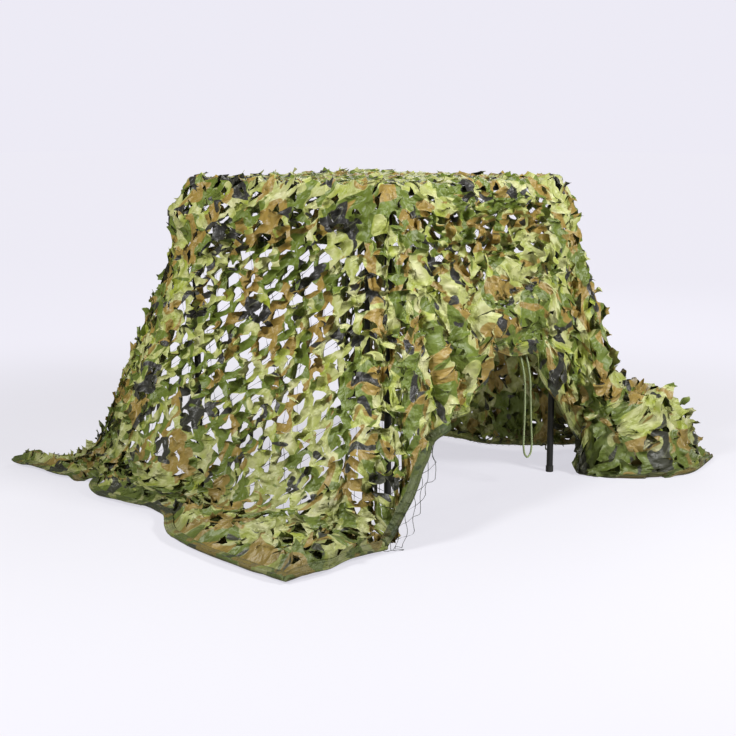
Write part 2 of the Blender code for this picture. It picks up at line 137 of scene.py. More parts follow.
def make_piece(name, points, faces, finish, flat=None, crease=None):
    """A mesh piece in its own place, smooth-shaded, with its flat places in metres as its UV."""
    mesh = bpy.data.meshes.new(name)
    mesh.vertices.add(len(points))
    mesh.vertices.foreach_set("co", np.asarray(points, np.float32).ravel())
    mesh.loops.add(faces.size)
    mesh.loops.foreach_set("vertex_index", faces.astype(np.int32).ravel())
    mesh.polygons.add(len(faces))
    mesh.polygons.foreach_set("loop_start", np.arange(0, faces.size, faces.shape[1], np.int32))
    mesh.update(calc_edges=True)
    if flat is not None:
        layer = mesh.uv_layers.new(name="flat")
        layer.data.foreach_set("uv", np.asarray(flat, np.float32)[faces.ravel()].ravel())
    mesh.validate()
    mesh.shade_smooth()
    if crease is not None:
        mesh.set_sharp_from_angle(angle=math.radians(crease))
    mesh.materials.append(finish)
    made = bpy.data.objects.new(name, mesh)
    bpy.context.scene.collection.objects.link(made)
    return made


def add_node(tree, kind, inputs=None, **settings):
    """A shader node. Its inputs are numbers or colours, which are set, or sockets, linked."""
    made = tree.nodes.new("ShaderNode" + kind)
    for key, value in settings.items():
        setattr(made, key, value)
    for key, value in (inputs or {}).items():
        if isinstance(value, bpy.types.NodeSocket):
            tree.links.new(value, made.inputs[key])
        else:
            made.inputs[key].default_value = value
    return made


def new_finish(name, roughness, metallic=0.0, **more):
    """A material with one Principled shader, and that shader's tree and node."""
    finish = bpy.data.materials.new(name)
    finish.use_nodes = True
    shader = finish.node_tree.nodes["Principled BSDF"]
    shader.inputs["Roughness"].default_value = roughness
    shader.inputs["Metallic"].default_value = metallic
    for key, value in more.items():
        shader.inputs[key.replace("_", " ").title().replace("Ior", "IOR")].default_value = value
    return finish, finish.node_tree, shader


def cord_finish():
    """Sage fibres that run along the strands: fine streaks of light and dark across the lay."""
    finish, tree, shader = new_finish("sage_cord", 0.8)
    place = add_node(tree, "UVMap", uv_map="flat").outputs["UV"]
    along = add_node(tree, "Mapping", {"Vector": place, "Scale": (60.0, 2600.0, 1.0)})
    streak = add_node(tree, "TexNoise", {"Vector": along.outputs[0], "Scale": 1.0, "Detail": 3.0})
    colour = add_node(tree, "Mix", {0: streak.outputs["Fac"],
                                    6: (*(0.62 * c for c in CORD_COLOUR), 1.0),
                                    7: (*(1.35 * c for c in CORD_COLOUR), 1.0)},
                      data_type="RGBA")
    bump = add_node(tree, "Bump", {"Height": streak.outputs["Fac"], "Strength": 0.5,
                                   "Distance": 0.0006})
    tree.links.new(colour.outputs[2], shader.inputs["Base Color"])
    tree.links.new(bump.outputs[0], shader.inputs["Normal"])
    return finish


def rope(route, rings, sides):
    """Three strands round a curve: the radius swells at each strand, and they turn with it."""
    path = curve_through(route, rings) + CORNER
    steps = np.concatenate([[0], np.cumsum(np.linalg.norm(np.diff(path, axis=0), axis=1))])
    ahead = np.gradient(path, axis=0)
    ahead /= np.linalg.norm(ahead, axis=1, keepdims=True)
    side = np.cross(ahead, (0.0, 1.0, 0.0))
    side /= np.linalg.norm(side, axis=1, keepdims=True)
    out = np.cross(ahead, side)
    turn = np.linspace(0, 2 * math.pi, sides, endpoint=False)[None, :]
    lay = 2 * math.pi * steps[:, None] / CORD_LAY
    strand = np.abs(np.cos(CORD_STRANDS * (turn + lay) / 2))
    radius = CORD_DIAMETER / 2 * (0.80 + 0.20 * strand)
    ends = np.minimum(steps, steps[-1] - steps)[:, None] / (CORD_DIAMETER / 2)
    radius = radius * np.sqrt(np.clip(ends * (2 - ends), 0.0, 1.0) * (ends < 1) + (ends >= 1))
    points = (path[:, None] + radius[..., None] * (np.cos(turn)[..., None] * side[:, None]
                                                   + np.sin(turn)[..., None] * out[:, None]))
    flat = np.stack(np.broadcast_arrays(steps[:, None] + turn * CORD_LAY / (2 * math.pi),
                                        turn * CORD_DIAMETER / 2), axis=-1)
    return path, points.reshape(-1, 3), flat.reshape(-1, 2)


CORD_RINGS, CORD_SIDES = 420, 24
cord_path, cord_points, cord_flat = rope(CORD_ROUTE, CORD_RINGS, CORD_SIDES)
cord_faces, kept = closed_tube(CORD_RINGS, CORD_SIDES)
draw_cord = make_piece("draw_cord_rope", cord_points[kept], cord_faces, cord_finish(),
                       cord_flat[kept])
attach(draw_cord, "root")
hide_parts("draw_cord")


# --- Leaf-cut net ---------------------------------------------------------------------
# One sheet of printed polyester, 3 m by 2 m, cut all over with three-cornered cuts whose
# tongues curl out like leaves. It lies over the rails and falls to the ground round them.
# It is made here in three widths that meet edge to edge.
NET_LONG = 3.0          # along the front, where a runs
NET_WIDE = 2.0          # along the left side, where b runs
PERIMETER = 2 * (NET_LONG + NET_WIDE)
CLOTH = 0.0022          # thickness of the net with its backing mesh
CLOTH_LOW = 0.0005      # no point of the cloth is lower over the floor
FRAME_SIDE = 0.85       # between the axes of two posts
RAIL_Z = 0.989
OVERHANG_LEFT = 1.14    # cloth beyond the left rail
OVERHANG_FRONT = 0.75   # cloth beyond the front rail
TURN_RADIUS = 0.0175    # of the cloth's middle over a rail, from the rail's axis
TURN = TURN_RADIUS * math.pi / 2
TOP_SAG = 0.022
POST_LIFT = 0.006       # how far a post's end pushes the net up
POST_LIFT_WIDTH = 0.03

# Where the hem goes. Each row is a station on one edge of the net: how far along the edge
# it lies, its place, and landing, which is how far out from the rail the cloth meets the
# ground, as a share of the way to the hem. Where the hem hangs, landing is 1.
HEM_COLUMNS = ("along", "x", "y", "z", "landing")
HEM = {
    "front": (
        (0.00, -0.570, -0.146, 0.000, 0.44),
        (0.25, -0.350, -0.150, 0.000, 0.50),
        (0.44, -0.180, -0.155, 0.000, 0.72),
        (0.60, -0.110, -0.150, 0.080, 0.95),
        (0.80, -0.005, -0.125, 0.190, 1.00),
        (1.00, 0.110, -0.100, 0.285, 1.00),
        (1.42, 0.335, -0.060, 0.400, 1.00),
        (1.53, 0.385, -0.050, 0.487, 1.00),
        (1.68, 0.520, -0.050, 0.456, 1.00),
        (1.84, 0.670, -0.050, 0.434, 1.00),
        (1.94, 0.710, -0.055, 0.337, 1.00),
        (2.14, 0.850, -0.055, 0.180, 1.00),
        (2.28, 0.910, -0.070, 0.060, 1.00),
        (2.42, 0.955, -0.135, 0.000, 0.80),
        (2.56, 0.990, -0.250, 0.000, 0.60),
        (2.76, 1.120, -0.370, 0.000, 0.50),
        (3.00, 1.400, -0.330, 0.000, 0.45)),
    "right": (
        (0.00, 1.400, -0.330, 0.000, 0.45),
        (0.35, 1.400, -0.020, 0.000, 0.42),
        (0.75, 1.080, 0.200, 0.000, 0.50),
        (1.10, 0.980, 0.400, 0.000, 0.55),
        (1.45, 0.970, 0.700, 0.000, 0.55),
        (1.60, 0.990, 0.880, 0.000, 0.60),
        (2.00, 1.120, 1.200, 0.000, 0.75)),
    "back": (
        (0.00, -0.340, 1.470, 0.000, 0.60),
        (0.18, -0.170, 1.400, 0.000, 0.62),
        (0.45, -0.040, 1.170, 0.110, 1.00),
        (0.66, 0.000, 1.070, 0.310, 1.00),
        (0.90, 0.020, 0.975, 0.530, 1.00),
        (1.14, 0.035, 0.920, 0.700, 1.00),
        (1.35, 0.200, 0.900, 0.745, 1.00),
        (1.78, 0.650, 0.900, 0.745, 1.00),
        (1.99, 0.825, 0.920, 0.700, 1.00),
        (2.30, 0.870, 0.980, 0.470, 1.00),
        (2.55, 0.940, 1.050, 0.250, 1.00),
        (2.82, 1.030, 1.170, 0.000, 0.85),
        (3.00, 1.120, 1.200, 0.000, 0.75)),
    "left": (
        (0.00, -0.570, -0.146, 0.000, 0.44),
        (0.30, -0.565, 0.120, 0.000, 0.55),
        (0.55, -0.520, 0.376, 0.000, 0.65),
        (0.80, -0.395, 0.570, 0.000, 0.75),
        (1.20, -0.380, 0.950, 0.000, 0.75),
        (1.36, -0.285, 1.065, 0.000, 0.78),
        (1.50, -0.325, 1.155, 0.000, 0.72),
        (1.65, -0.337, 1.250, 0.000, 0.66),
        (2.00, -0.340, 1.470, 0.000, 0.60)),
}

# Folds that run down the drop: centre, half width, wave, depth, and the share of the drop
# where they start. The centre is a place on the net's perimeter, counted from the near
# corner: front 0 to 3, right 3 to 5, back 5 to 8 and left 8 to 10.
FOLDS = {
    "near_corner": (0.35, 0.70, 0.330, 0.060, 0.30),
    "curtain": (1.20, 0.42, 0.190, 0.055, 0.05),
    "beside_entrance": (2.15, 0.35, 0.200, 0.025, 0.10),
    "right_heap": (2.75, 0.55, 0.260, 0.060, 0.35),
    "right_wall": (4.10, 0.80, 0.290, 0.040, 0.10),
    "back_valance": (6.43, 0.44, 0.210, 0.035, 0.10),
    "back_corner": (8.30, 0.40, 0.260, 0.030, 0.20),
    "left_wall": (8.90, 0.70, 0.430, 0.028, 0.15),
}
GATHER_DEPTH = 0.030    # slanting folds where the front hem is lifted
GATHER_COUNT = 3.2      # from the rail to the hem
GATHER_SLANT = 2.2      # and in a metre along the hem
GATHER_SPAN = (0.75, 1.35, 1.90, 2.10)      # where they begin, are full, fade and are gone

# The heap of slack cloth beside the right post.
HEAP_CENTRE = (1.22, -0.18)
HEAP_RADII = (0.18, 0.14)
HEAP_HEIGHT = 0.23

# The cuts, their tongues, and how a tongue stands up.
LEAF_STEP = 1 / 24      # half the distance between cuts in one row
CUT_SIDES = 24          # points round a cut, with a corner at every eighth
CUT_REACH = 0.031       # from a cut's middle to its corners
CUT_HOLLOW = 1.05       # 1 for straight sides between the corners, more for hollow ones
CUT_LIMIT = 0.88        # of the way out to the side of its own diamond of cloth
CUT_STRAY = 0.003       # how far a cut is off its regular place, at most, either way
CUT_BY_HEM = 0.72       # the size of a cut by the hem, as a share
CUT_INWARDS = 0.010     # and how much further in from the border it lies
HEM_MARGIN = (0.03, 0.06)   # from the border to the first cuts, and to those of full size
NO_CUT = 0.0008         # the reach of one that is left out, a pinhole under the hem
CURL = (0.0035, 0.0065)     # how far a ribbon's edge curls up, and how much more if gaping
RIBBON_ROWS = 3
TONGUE_ROWS = 4
TONGUE_STRETCH = 0.90   # a tongue's length as a share of its cut's
TONGUE_DROOP = 0.72     # how far a tongue's own weight lets it stand up, as a share
TONGUE_TIP = 0.017      # its width at the tip

# Zones of the flat net are low a, high a, low b and high b. In the open ones the cuts gape,
# and the last number is how far: 1 is open, and more is stretched wide.
OPEN_ZONES = {
    "left_wall": (0.48, 1.04, 0.46, 1.36, 1.00),
    "left_wall_foot": (0.36, 0.52, 0.44, 0.98, 0.68),
    "front_rail": (1.18, 1.96, 0.66, 0.78, 0.55),
    "left_rail": (1.08, 1.18, 0.80, 1.58, 0.50),
    "front_panel": (1.18, 1.88, 0.42, 0.66, 1.35),
    "near_ground": (0.00, 0.62, 0.00, 0.30, 0.42),
    "left_ground": (0.00, 0.22, 0.20, 1.70, 0.40),
    "right_wall": (2.04, 2.38, 0.84, 1.58, 1.50),
    "far_corner": (2.08, 2.60, 1.66, 1.96, 0.90),
    "back_wall": (1.20, 1.95, 1.66, 1.95, 0.55),
    "heap": (2.20, 2.92, 0.06, 0.60, 0.62),
}
OPEN_ELSEWHERE = 0.17   # except in the next zone, where the rest stay shut
SHUT_ZONE = (2.50, 3.00, 0.68, 1.60)
BY_NEAR_POST = ((1.06, 0.64), (0.63, 0.17))     # a line of gaping cuts in front of the post
OPEN_BY_POST = 1.5

# The crumple: wavelength and height of its soft hills, and of its creases, sharp on top.
HILLS = ((0.120, 0.010), (0.050, 0.006))
CREASES = ((0.190, 0.015), (0.095, 0.007))
RIDGES = (0.12, 0.045)      # the same for what is added on the ground and over the heap
HEAP_ZONE = (2.25, 3.00, 0.03, 0.60)        # the heap
HEAP_SIDE = (2.80, 2.97, 0.08, 0.34)
HEAP_SIDE_RISE = 0.022      # the heap is fuller at its side
HEAP_TOP = (2.64, 3.00, 0.05, 0.48)
HEAP_TOP_DROP = 0.020       # and flatter on top

# The lifted hem stands out beside the opening: its zone, between which places along the hem
# this grows and fades, and which way and how far it goes.
FLARED_HEM = (0.54, 1.34, -0.10, 0.12)
FLARE_SHARE = ((0.34, 0.74), (1.24, 1.44))
FLARE = np.array([-0.070, -0.050, 0.004])
# Where and how far the foot of the heap spreads, where and how far the left wall lies
# further in, and where the cloth is pressed down in a brim round the heap.
HEAP_FOOT = (2.30, 2.62, -0.10, 0.16)
SPREAD = np.array([-0.028, 0.022, 0.0])
PULLED_IN = (0.10, 0.97, 1.50, 2.20)
PULL = 0.045
BRIM_ZONE = (2.36, 3.10, -0.10, 0.55)
BRIM_WIDE = 0.19
BRIM_PRESSED = 0.75     # of its height

# Cloth drawn down to the foot of the heap and to its side, and more to their steep parts.
HEAP_SLACK = 0.095
HEAP_SIDE_SLACK = 0.085
STEEP_SLACK = 0.085
STEEP_SIDE_SLACK = 0.045

# Where the slack of the net is gathered and lies double. Out of sight under the heap and on
# the ground the lower layer is plain, and on the right wall it is cut like the upper one.
UNDER_ZONES = {
    "net_left": ((0.04, 0.40, 0.04, 0.40), (0.04, 0.24, 0.40, 1.80)),
    "net_middle": (),
    "net_right": ((2.24, 2.96, 0.04, 0.62),),
}
UNDER_WALL = (2.44, 2.86, 0.66, 1.30)
UNDER_DROP = 0.012      # how far the under layer is below the upper one
UNDER_STEP = 0.015      # between the points of a plain one
UNDER_PLACE = (0.9, 0.7)    # from its place in the flat net to that in its print


def smooth_step(value, low, high):
    """0 below low and 1 above high, along 3 s**2 - 2 s**3 in between."""
    share = np.clip((value - low) / (high - low), 0.0, 1.0)
    return share * share * (3.0 - 2.0 * share)


def soft_positive(value, width):
    """max(value, 0) with its corner rounded over width."""
    return width * np.logaddexp(0.0, value / width)


def hem_column(edge, name, along):
    """One column of an edge's hem table, on a smooth curve through its rows.

    The curve is made of cubic pieces whose slopes are the rows' own, and is level between
    two rows that agree.
    """
    column = HEM_COLUMNS.index(name)
    stations = np.array([row[0] for row in HEM[edge]])
    values = np.array([row[column] for row in HEM[edge]])
    slopes = np.gradient(values, stations)
    index = np.clip(np.searchsorted(stations, along, side="right") - 1, 0, len(stations) - 2)
    width = stations[index + 1] - stations[index]
    share = np.clip((along - stations[index]) / width, 0.0, 1.0)
    level = values[index + 1] == values[index]
    start = np.where(level, 0.0, slopes[index]) * width
    finish = np.where(level, 0.0, slopes[index + 1]) * width
    square, cube = share**2, share**3
    return ((2 * cube - 3 * square + 1) * values[index]
            + (cube - 2 * square + share) * start
            + (3 * square - 2 * cube) * values[index + 1]
            + (cube - square) * finish)


def drape(a, b):
    """The place of the net's middle surface at flat position a, b.

    The cloth over the square of rails only sags. Any other point lies on a straight ray,
    drawn on the flat net, from the nearest point of that square out to the hem. The ray
    turns over the rail, goes straight down to where it lands and lies on the ground from
    there, so it ends at the hem's own place. Folds are added across it.
    """
    rail_a = np.clip(a, OVERHANG_LEFT, OVERHANG_LEFT + FRAME_SIDE)
    rail_b = np.clip(b, OVERHANG_FRONT, OVERHANG_FRONT + FRAME_SIDE)
    out_a, out_b = a - rail_a, b - rail_b
    reach = np.maximum(np.hypot(out_a, out_b), 1e-9)
    way_a, way_b = out_a / reach, out_b / reach
    full_a = np.where(out_a > 0, NET_LONG - OVERHANG_LEFT - FRAME_SIDE, OVERHANG_LEFT)
    full_b = np.where(out_b > 0, NET_WIDE - OVERHANG_FRONT - FRAME_SIDE, OVERHANG_FRONT)
    share_a, share_b = np.abs(out_a) / full_a, np.abs(out_b) / full_b
    share = np.maximum(np.maximum(share_a, share_b), 1e-9)
    edge_a = np.clip(rail_a + out_a / share, 0.0, NET_LONG)
    edge_b = np.clip(rail_b + out_b / share, 0.0, NET_WIDE)
    ray_length = reach / share

    to_side = share_a >= share_b
    edges = {
        "left": (to_side & (out_a <= 0), edge_b, PERIMETER - edge_b),
        "right": (to_side & (out_a > 0), edge_b, NET_LONG + edge_b),
        "front": (~to_side & (out_b <= 0), edge_a, edge_a),
        "back": (~to_side & (out_b > 0), edge_a, 2 * NET_LONG + NET_WIDE - edge_a),
    }
    chosen = [edge[0] for edge in edges.values()]
    perimeter = np.select(chosen, [edge[2] for edge in edges.values()])
    hem_x, hem_y, hem_z, landing = (
        np.select(chosen, [hem_column(edge, name, edges[edge][1]) for edge in edges])
        for name in HEM_COLUMNS[1:])

    # From the shoulder, where the cloth leaves the rail, to the hem.
    rail_x, rail_y = rail_a - OVERHANG_LEFT, rail_b - OVERHANG_FRONT
    start_x = rail_x + way_a * TURN_RADIUS
    start_y = rail_y + way_b * TURN_RADIUS
    end_z = np.maximum(hem_z, CLOTH / 2)
    height = RAIL_Z - end_z
    across = np.maximum(np.hypot(hem_x - start_x, hem_y - start_y), 1e-6)
    heading_x, heading_y = (hem_x - start_x) / across, (hem_y - start_y) / across
    hanging = smooth_step(hem_z, 0.0, 0.12)
    landed = across * (np.clip(landing, 0.05, 1.0) * (1 - hanging) + hanging)
    fall = np.hypot(landed, height)
    flat_run = across - landed
    rounding = np.minimum(0.07, flat_run / 3) + 1e-4
    down = np.clip((reach - TURN) / np.maximum(ray_length - TURN, 1e-6), 0.0, 1.0)
    travelled = down * (fall + flat_run)
    run = landed / fall * travelled
    run += (1 - landed / fall) * soft_positive(travelled - fall, rounding)
    x = start_x + heading_x * run
    y = start_y + heading_y * run
    z = end_z + height / fall * soft_positive(fall - travelled, rounding)
    past_landing = np.clip((travelled - fall) / rounding, -40, 40)
    lying = (1 - hanging) / (1 + np.exp(-past_landing))

    # Folds stand out from the ray, as humps where the cloth lies on the ground, and so do
    # the slanting gathers. Then comes the heap.
    fold = np.zeros_like(x)
    for centre, half_width, wave, depth, starts in FOLDS.values():
        offset = (perimeter - centre + PERIMETER / 2) % PERIMETER - PERIMETER / 2
        size = depth * smooth_step(1 - np.abs(offset) / half_width, 0.0, 0.6)
        size = size * smooth_step(down, starts, 1.0) * (1 - 0.5 * smooth_step(down, 0.8, 1.0))
        fold += size * (1 + np.sin(2 * math.pi * offset / wave)) / 2
    begin, full, fade, gone = GATHER_SPAN
    lifted = smooth_step(perimeter, begin, full) * (1 - smooth_step(perimeter, fade, gone))
    lifted = lifted * smooth_step(down, 0.05, 0.4) * smooth_step(1 - down, 0.0, 0.15)
    slant = np.sin(2 * math.pi * (down * GATHER_COUNT + perimeter * GATHER_SLANT))
    sideways = fold * (1 - lying) + GATHER_DEPTH * lifted * (1 + slant) / 2
    x = x + way_a * sideways
    y = y + way_b * sideways
    near_hem = smooth_step(1 - down, 0.0, 0.12)
    wrinkle = 0.006 * (1 + np.sin(23 * x + 11 * y) * np.sin(17 * y - 9 * x))
    z = z + lying * near_hem * (fold / 2 + wrinkle)
    off_centre = ((x - HEAP_CENTRE[0]) / HEAP_RADII[0])**2
    off_centre = off_centre + ((y - HEAP_CENTRE[1]) / HEAP_RADII[1])**2
    heap = HEAP_HEIGHT * np.exp(-off_centre / 2) * smooth_step(1 - down, 0.0, 0.16)
    z = z + heap * smooth_step(0.35 - z, 0.0, 0.3)

    # The turn over the rail, and the top.
    turning = reach < TURN
    angle = np.minimum(reach / TURN_RADIUS, math.pi / 2)
    x = np.where(turning, rail_x + way_a * TURN_RADIUS * np.sin(angle), x)
    y = np.where(turning, rail_y + way_b * TURN_RADIUS * np.sin(angle), y)
    z = np.where(turning, RAIL_Z + TURN_RADIUS * np.cos(angle), z)
    middle = 16 * rail_x * (FRAME_SIDE - rail_x) * rail_y * (FRAME_SIDE - rail_y)
    middle = np.clip(middle / FRAME_SIDE**4, 0.0, 1.0)
    z = z - TOP_SAG * middle**0.8
    for post_x in (0.0, FRAME_SIDE):
        for post_y in (0.0, FRAME_SIDE):
            away = (a - OVERHANG_LEFT - post_x)**2 + (b - OVERHANG_FRONT - post_y)**2
            z = z + POST_LIFT * np.exp(-away / (2 * POST_LIFT_WIDTH**2))
    return np.stack([x, y, z], axis=-1)


def hills(a, b, wavelength, seed):
    """Smooth random hills from 0 to 1: heights on a square lattice, eased in between."""
    heights = np.random.default_rng(seed).random((128, 128))
    u, v = a / wavelength + 40.0, b / wavelength + 40.0
    i, j = np.floor(u).astype(int), np.floor(v).astype(int)
    s, t = smooth_step(u - i, 0.0, 1.0), smooth_step(v - j, 0.0, 1.0)
    i, j = i % 127, j % 127
    return ((heights[i, j] * (1 - s) + heights[i + 1, j] * s) * (1 - t)
            + (heights[i, j + 1] * (1 - s) + heights[i + 1, j + 1] * s) * t)


# Outward normals of the drape on a grid of the flat net: the cross product of its slopes.
NORMAL_STEP = 0.02
normal_a = np.arange(0, NET_LONG + NORMAL_STEP / 2, NORMAL_STEP)
normal_b = np.arange(0, NET_WIDE + NORMAL_STEP / 2, NORMAL_STEP)
normal_grid = drape(*np.meshgrid(normal_a, normal_b, indexing="ij"))
normal_grid = np.cross(np.gradient(normal_grid, axis=0), np.gradient(normal_grid, axis=1))
normal_grid /= np.linalg.norm(normal_grid, axis=-1, keepdims=True)


def drape_normals(a, b):
    """Outward unit normals of the drape: the grid's, in proportion between its points."""
    u = np.clip(a / NORMAL_STEP, 0, len(normal_a) - 1.001)
    v = np.clip(b / NORMAL_STEP, 0, len(normal_b) - 1.001)
    i, j = u.astype(int), v.astype(int)
    s, t = (u - i)[..., None], (v - j)[..., None]
    normals = ((normal_grid[i, j] * (1 - s) + normal_grid[i + 1, j] * s) * (1 - t)
               + (normal_grid[i, j + 1] * (1 - s) + normal_grid[i + 1, j + 1] * s) * t)
    return normals / np.maximum(np.linalg.norm(normals, axis=-1, keepdims=True), 1e-6)


def in_zone(a, b, a_low, a_high, b_low, b_high):
    """1 inside a rectangle of the flat net and 0 outside it, eased at its sides."""
    return (smooth_step(a, a_low - 0.05, a_low + 0.04)
            * smooth_step(-a, -a_high - 0.05, -a_high + 0.04)
            * smooth_step(b, b_low - 0.06, b_low + 0.06)
            * smooth_step(-b, -b_high - 0.06, -b_high + 0.06))


def drawn_down(a, b):
    """Flat places with the slack of the heap drawn to its foot and to its far side.

    b is less by half a sine wave, and a is more by another. An eased hump is added to each,
    which draws still more cloth to the steep part.
    """
    a, b = np.clip(a, 0, NET_LONG), np.clip(b, 0, NET_WIDE)
    by_heap = smooth_step(a, 2.20, 2.50) * (1 - 0.6 * smooth_step(a, 2.88, 3.0))
    hump = HEAP_SLACK * np.sin(math.pi * np.clip(b / 0.62, 0, 1)) * by_heap
    hump += (STEEP_SLACK * smooth_step(b, 0.05, 0.37) * smooth_step(-b, -0.70, -0.37)
             * smooth_step(a, 2.50, 2.64) * smooth_step(-a, -2.97, -2.84))
    sideways = HEAP_SIDE_SLACK * np.sin(math.pi * np.clip((a - 2.45) / 0.55, 0, 1))
    sideways += (STEEP_SIDE_SLACK * smooth_step(a, 2.48, 2.72) * smooth_step(-a, -2.88, -2.72)
                 * smooth_step(b, 0.0, 0.10))
    return (np.clip(a + sideways * smooth_step(-b, -0.75, -0.45), 0, NET_LONG),
            np.clip(b - hump, 0, NET_WIDE))


def on_drape(a, b, lift):
    """Places on the draped net, lifted off it along its normal, and never under the floor.

    The lift is less by PULL where the wall lies further in. The flare of the lifted hem and
    the spread of the heap's foot are added, full at the front edge and gone 100 and 160 mm
    inside it. The brim's height shrinks towards the border.
    """
    inner_a, inner_b = drawn_down(a, b)
    lift = lift - PULL * in_zone(a, b, *PULLED_IN)
    points = drape(inner_a, inner_b) + drape_normals(inner_a, inner_b) * lift[..., None]
    (begin, full), (ebb, end) = FLARE_SHARE
    flare = (smooth_step(a, begin, full) * smooth_step(-a, -end, -ebb)
             * (1 - smooth_step(b, 0.0, 0.10)))
    spread = in_zone(a, b, *HEAP_FOOT) * (1 - smooth_step(b, 0.0, 0.16))
    points = points + CORNER + flare[..., None] * FLARE + spread[..., None] * SPREAD
    brim = in_zone(a, b, *BRIM_ZONE) * (1 - smooth_step(from_border(a, b), 0.02, BRIM_WIDE))
    points[..., 2] = np.maximum(points[..., 2] * (1 - BRIM_PRESSED * brim), CLOTH_LOW)
    return points


def openness(a, b):
    """How far the cuts gape: the most that a zone, or the line by the near post, gives."""
    result = OPEN_ELSEWHERE * (1 - in_zone(a, b, *SHUT_ZONE))
    for *zone, most in OPEN_ZONES.values():
        result = np.maximum(result, most * in_zone(a, b, *zone))
    (top_a, top_b), (low_a, low_b) = BY_NEAR_POST
    line = np.hypot(low_a - top_a, low_b - top_b)
    way_a, way_b = (low_a - top_a) / line, (low_b - top_b) / line
    along = np.clip((a - top_a) * way_a + (b - top_b) * way_b, 0, line)
    away = np.hypot(a - top_a - along * way_a, b - top_b - along * way_b)
    return np.maximum(result, OPEN_BY_POST * (1 - smooth_step(away, 0.030, 0.085)))


def over_frame(a, b, start, finish):
    """1 over the square of the rails: from 0 to 1 between two distances inside its sides."""
    share = np.ones(np.shape(a))
    for value, first in ((a, OVERHANG_LEFT), (b, OVERHANG_FRONT)):
        share = (share * smooth_step(value, first + start, first + finish)
                 * smooth_step(-value, start - first - FRAME_SIDE, finish - first - FRAME_SIDE))
    return share


def from_border(a, b):
    """The distance from a flat place to the nearest edge of the net, or less than 0 outside."""
    return np.minimum(np.minimum(a, NET_LONG - a), np.minimum(b, NET_WIDE - b))


def crumple(a, b):
    """The height of the crumple at flat places.

    It is the sum of the soft hills and of creases, which are 1 less twice the distance of
    other hills from their middle height. Ridges of the same kind are added on the ground and
    over the heap. All is lower where the cuts gape, over the frame, by the lifted hem and by
    the border.
    """
    a, b = np.clip(a, 0, NET_LONG), np.clip(b, 0, NET_WIDE)
    height = np.zeros(np.shape(a))
    for seed, (wavelength, size) in enumerate(HILLS):
        height += size * hills(a, b, wavelength, seed + 1)
    for seed, (wavelength, size) in enumerate(CREASES):
        height += size * (1 - np.abs(2 * hills(a, b, wavelength, seed + 5) - 1))
    on_ground = 1 - smooth_step(drape(*drawn_down(a, b))[..., 2], 0.01, 0.10)
    border = from_border(a, b)
    on_ground = np.maximum(on_ground, 0.55 * in_zone(a, b, *HEAP_ZONE))
    ridges = 1 - np.abs(2 * hills(a, b, RIDGES[0], 9) - 1)
    height += RIDGES[1] * on_ground * ridges * smooth_step(border, 0.0, 0.09)
    height += (HEAP_SIDE_RISE * in_zone(a, b, *HEAP_SIDE)
               - HEAP_TOP_DROP * in_zone(a, b, *HEAP_TOP))
    slack = 1.0 - 0.45 * np.minimum(openness(a, b), 1.0)
    slack *= 1.0 - 0.93 * over_frame(a, b, -0.09, -0.015)
    slack *= 1 - 0.6 * in_zone(a, b, *FLARED_HEM)
    return CLOTH / 2 + height * slack * smooth_step(border, -0.06, 0.06)


def under_crumple(a, b):
    """The height of a second layer: a lower crumple, below the upper layer."""
    return 0.8 * crumple(a, b) - UNDER_DROP


def chosen_cuts(zone, under):
    """The cuts whose centres lie in one zone, with what makes each of them differ.

    Cuts are staggered over the net, and each has fourteen random numbers from 0 to 1. Its
    gape is its place's openness times 0.62 to 1.34, but a few stay nearly shut and a few
    open by 0.45 at least. free is how far its tongue may stand up: less over the frame, by
    the lifted hem and on the heap. The cuts of an under layer are a step along from those
    of the upper one and curl inwards.
    """
    across, along = np.meshgrid(np.arange(round(NET_LONG / LEAF_STEP) + 1),
                                np.arange(round(NET_WIDE / LEAF_STEP) + 1), indexing="ij")
    staggered = (across + along) % 2 == 0
    across, along = across[staggered], along[staggered]
    draw = np.random.default_rng(11).random((14, len(across)))
    a_low, a_high, b_low, b_high = zone
    inside = ((across * LEAF_STEP >= a_low) & (across * LEAF_STEP < a_high)
              & (along * LEAF_STEP >= b_low) & (along * LEAF_STEP < b_high))
    draw, across, along = draw[:, inside], across[inside], along[inside]
    a, b = (across + under) * LEAF_STEP, along * LEAF_STEP
    if under:
        gape, free = 0.40 + 0.50 * draw[0], np.ones(len(a))
    else:
        gape = openness(a, b) * np.where(draw[13] < 0.12, 0.25, 0.62 + 0.72 * draw[0])
        gape = np.where(draw[10] > 0.92, np.maximum(gape, 0.45), gape)
        free = ((1 - 0.75 * over_frame(a, b, -0.06, 0.0))
                * (1 - 0.80 * in_zone(a, b, *FLARED_HEM))
                * (1 - 0.20 * in_zone(a, b, *HEAP_ZONE)))
    whole = from_border(a, b) > HEM_MARGIN[0]
    by_hem = whole & (from_border(a, b) < HEM_MARGIN[1])
    return SimpleNamespace(a=a, b=b, draw=draw, gape=gape, free=free, whole=whole,
                           by_hem=by_hem, under=under, outwards=-1 if under else 1)


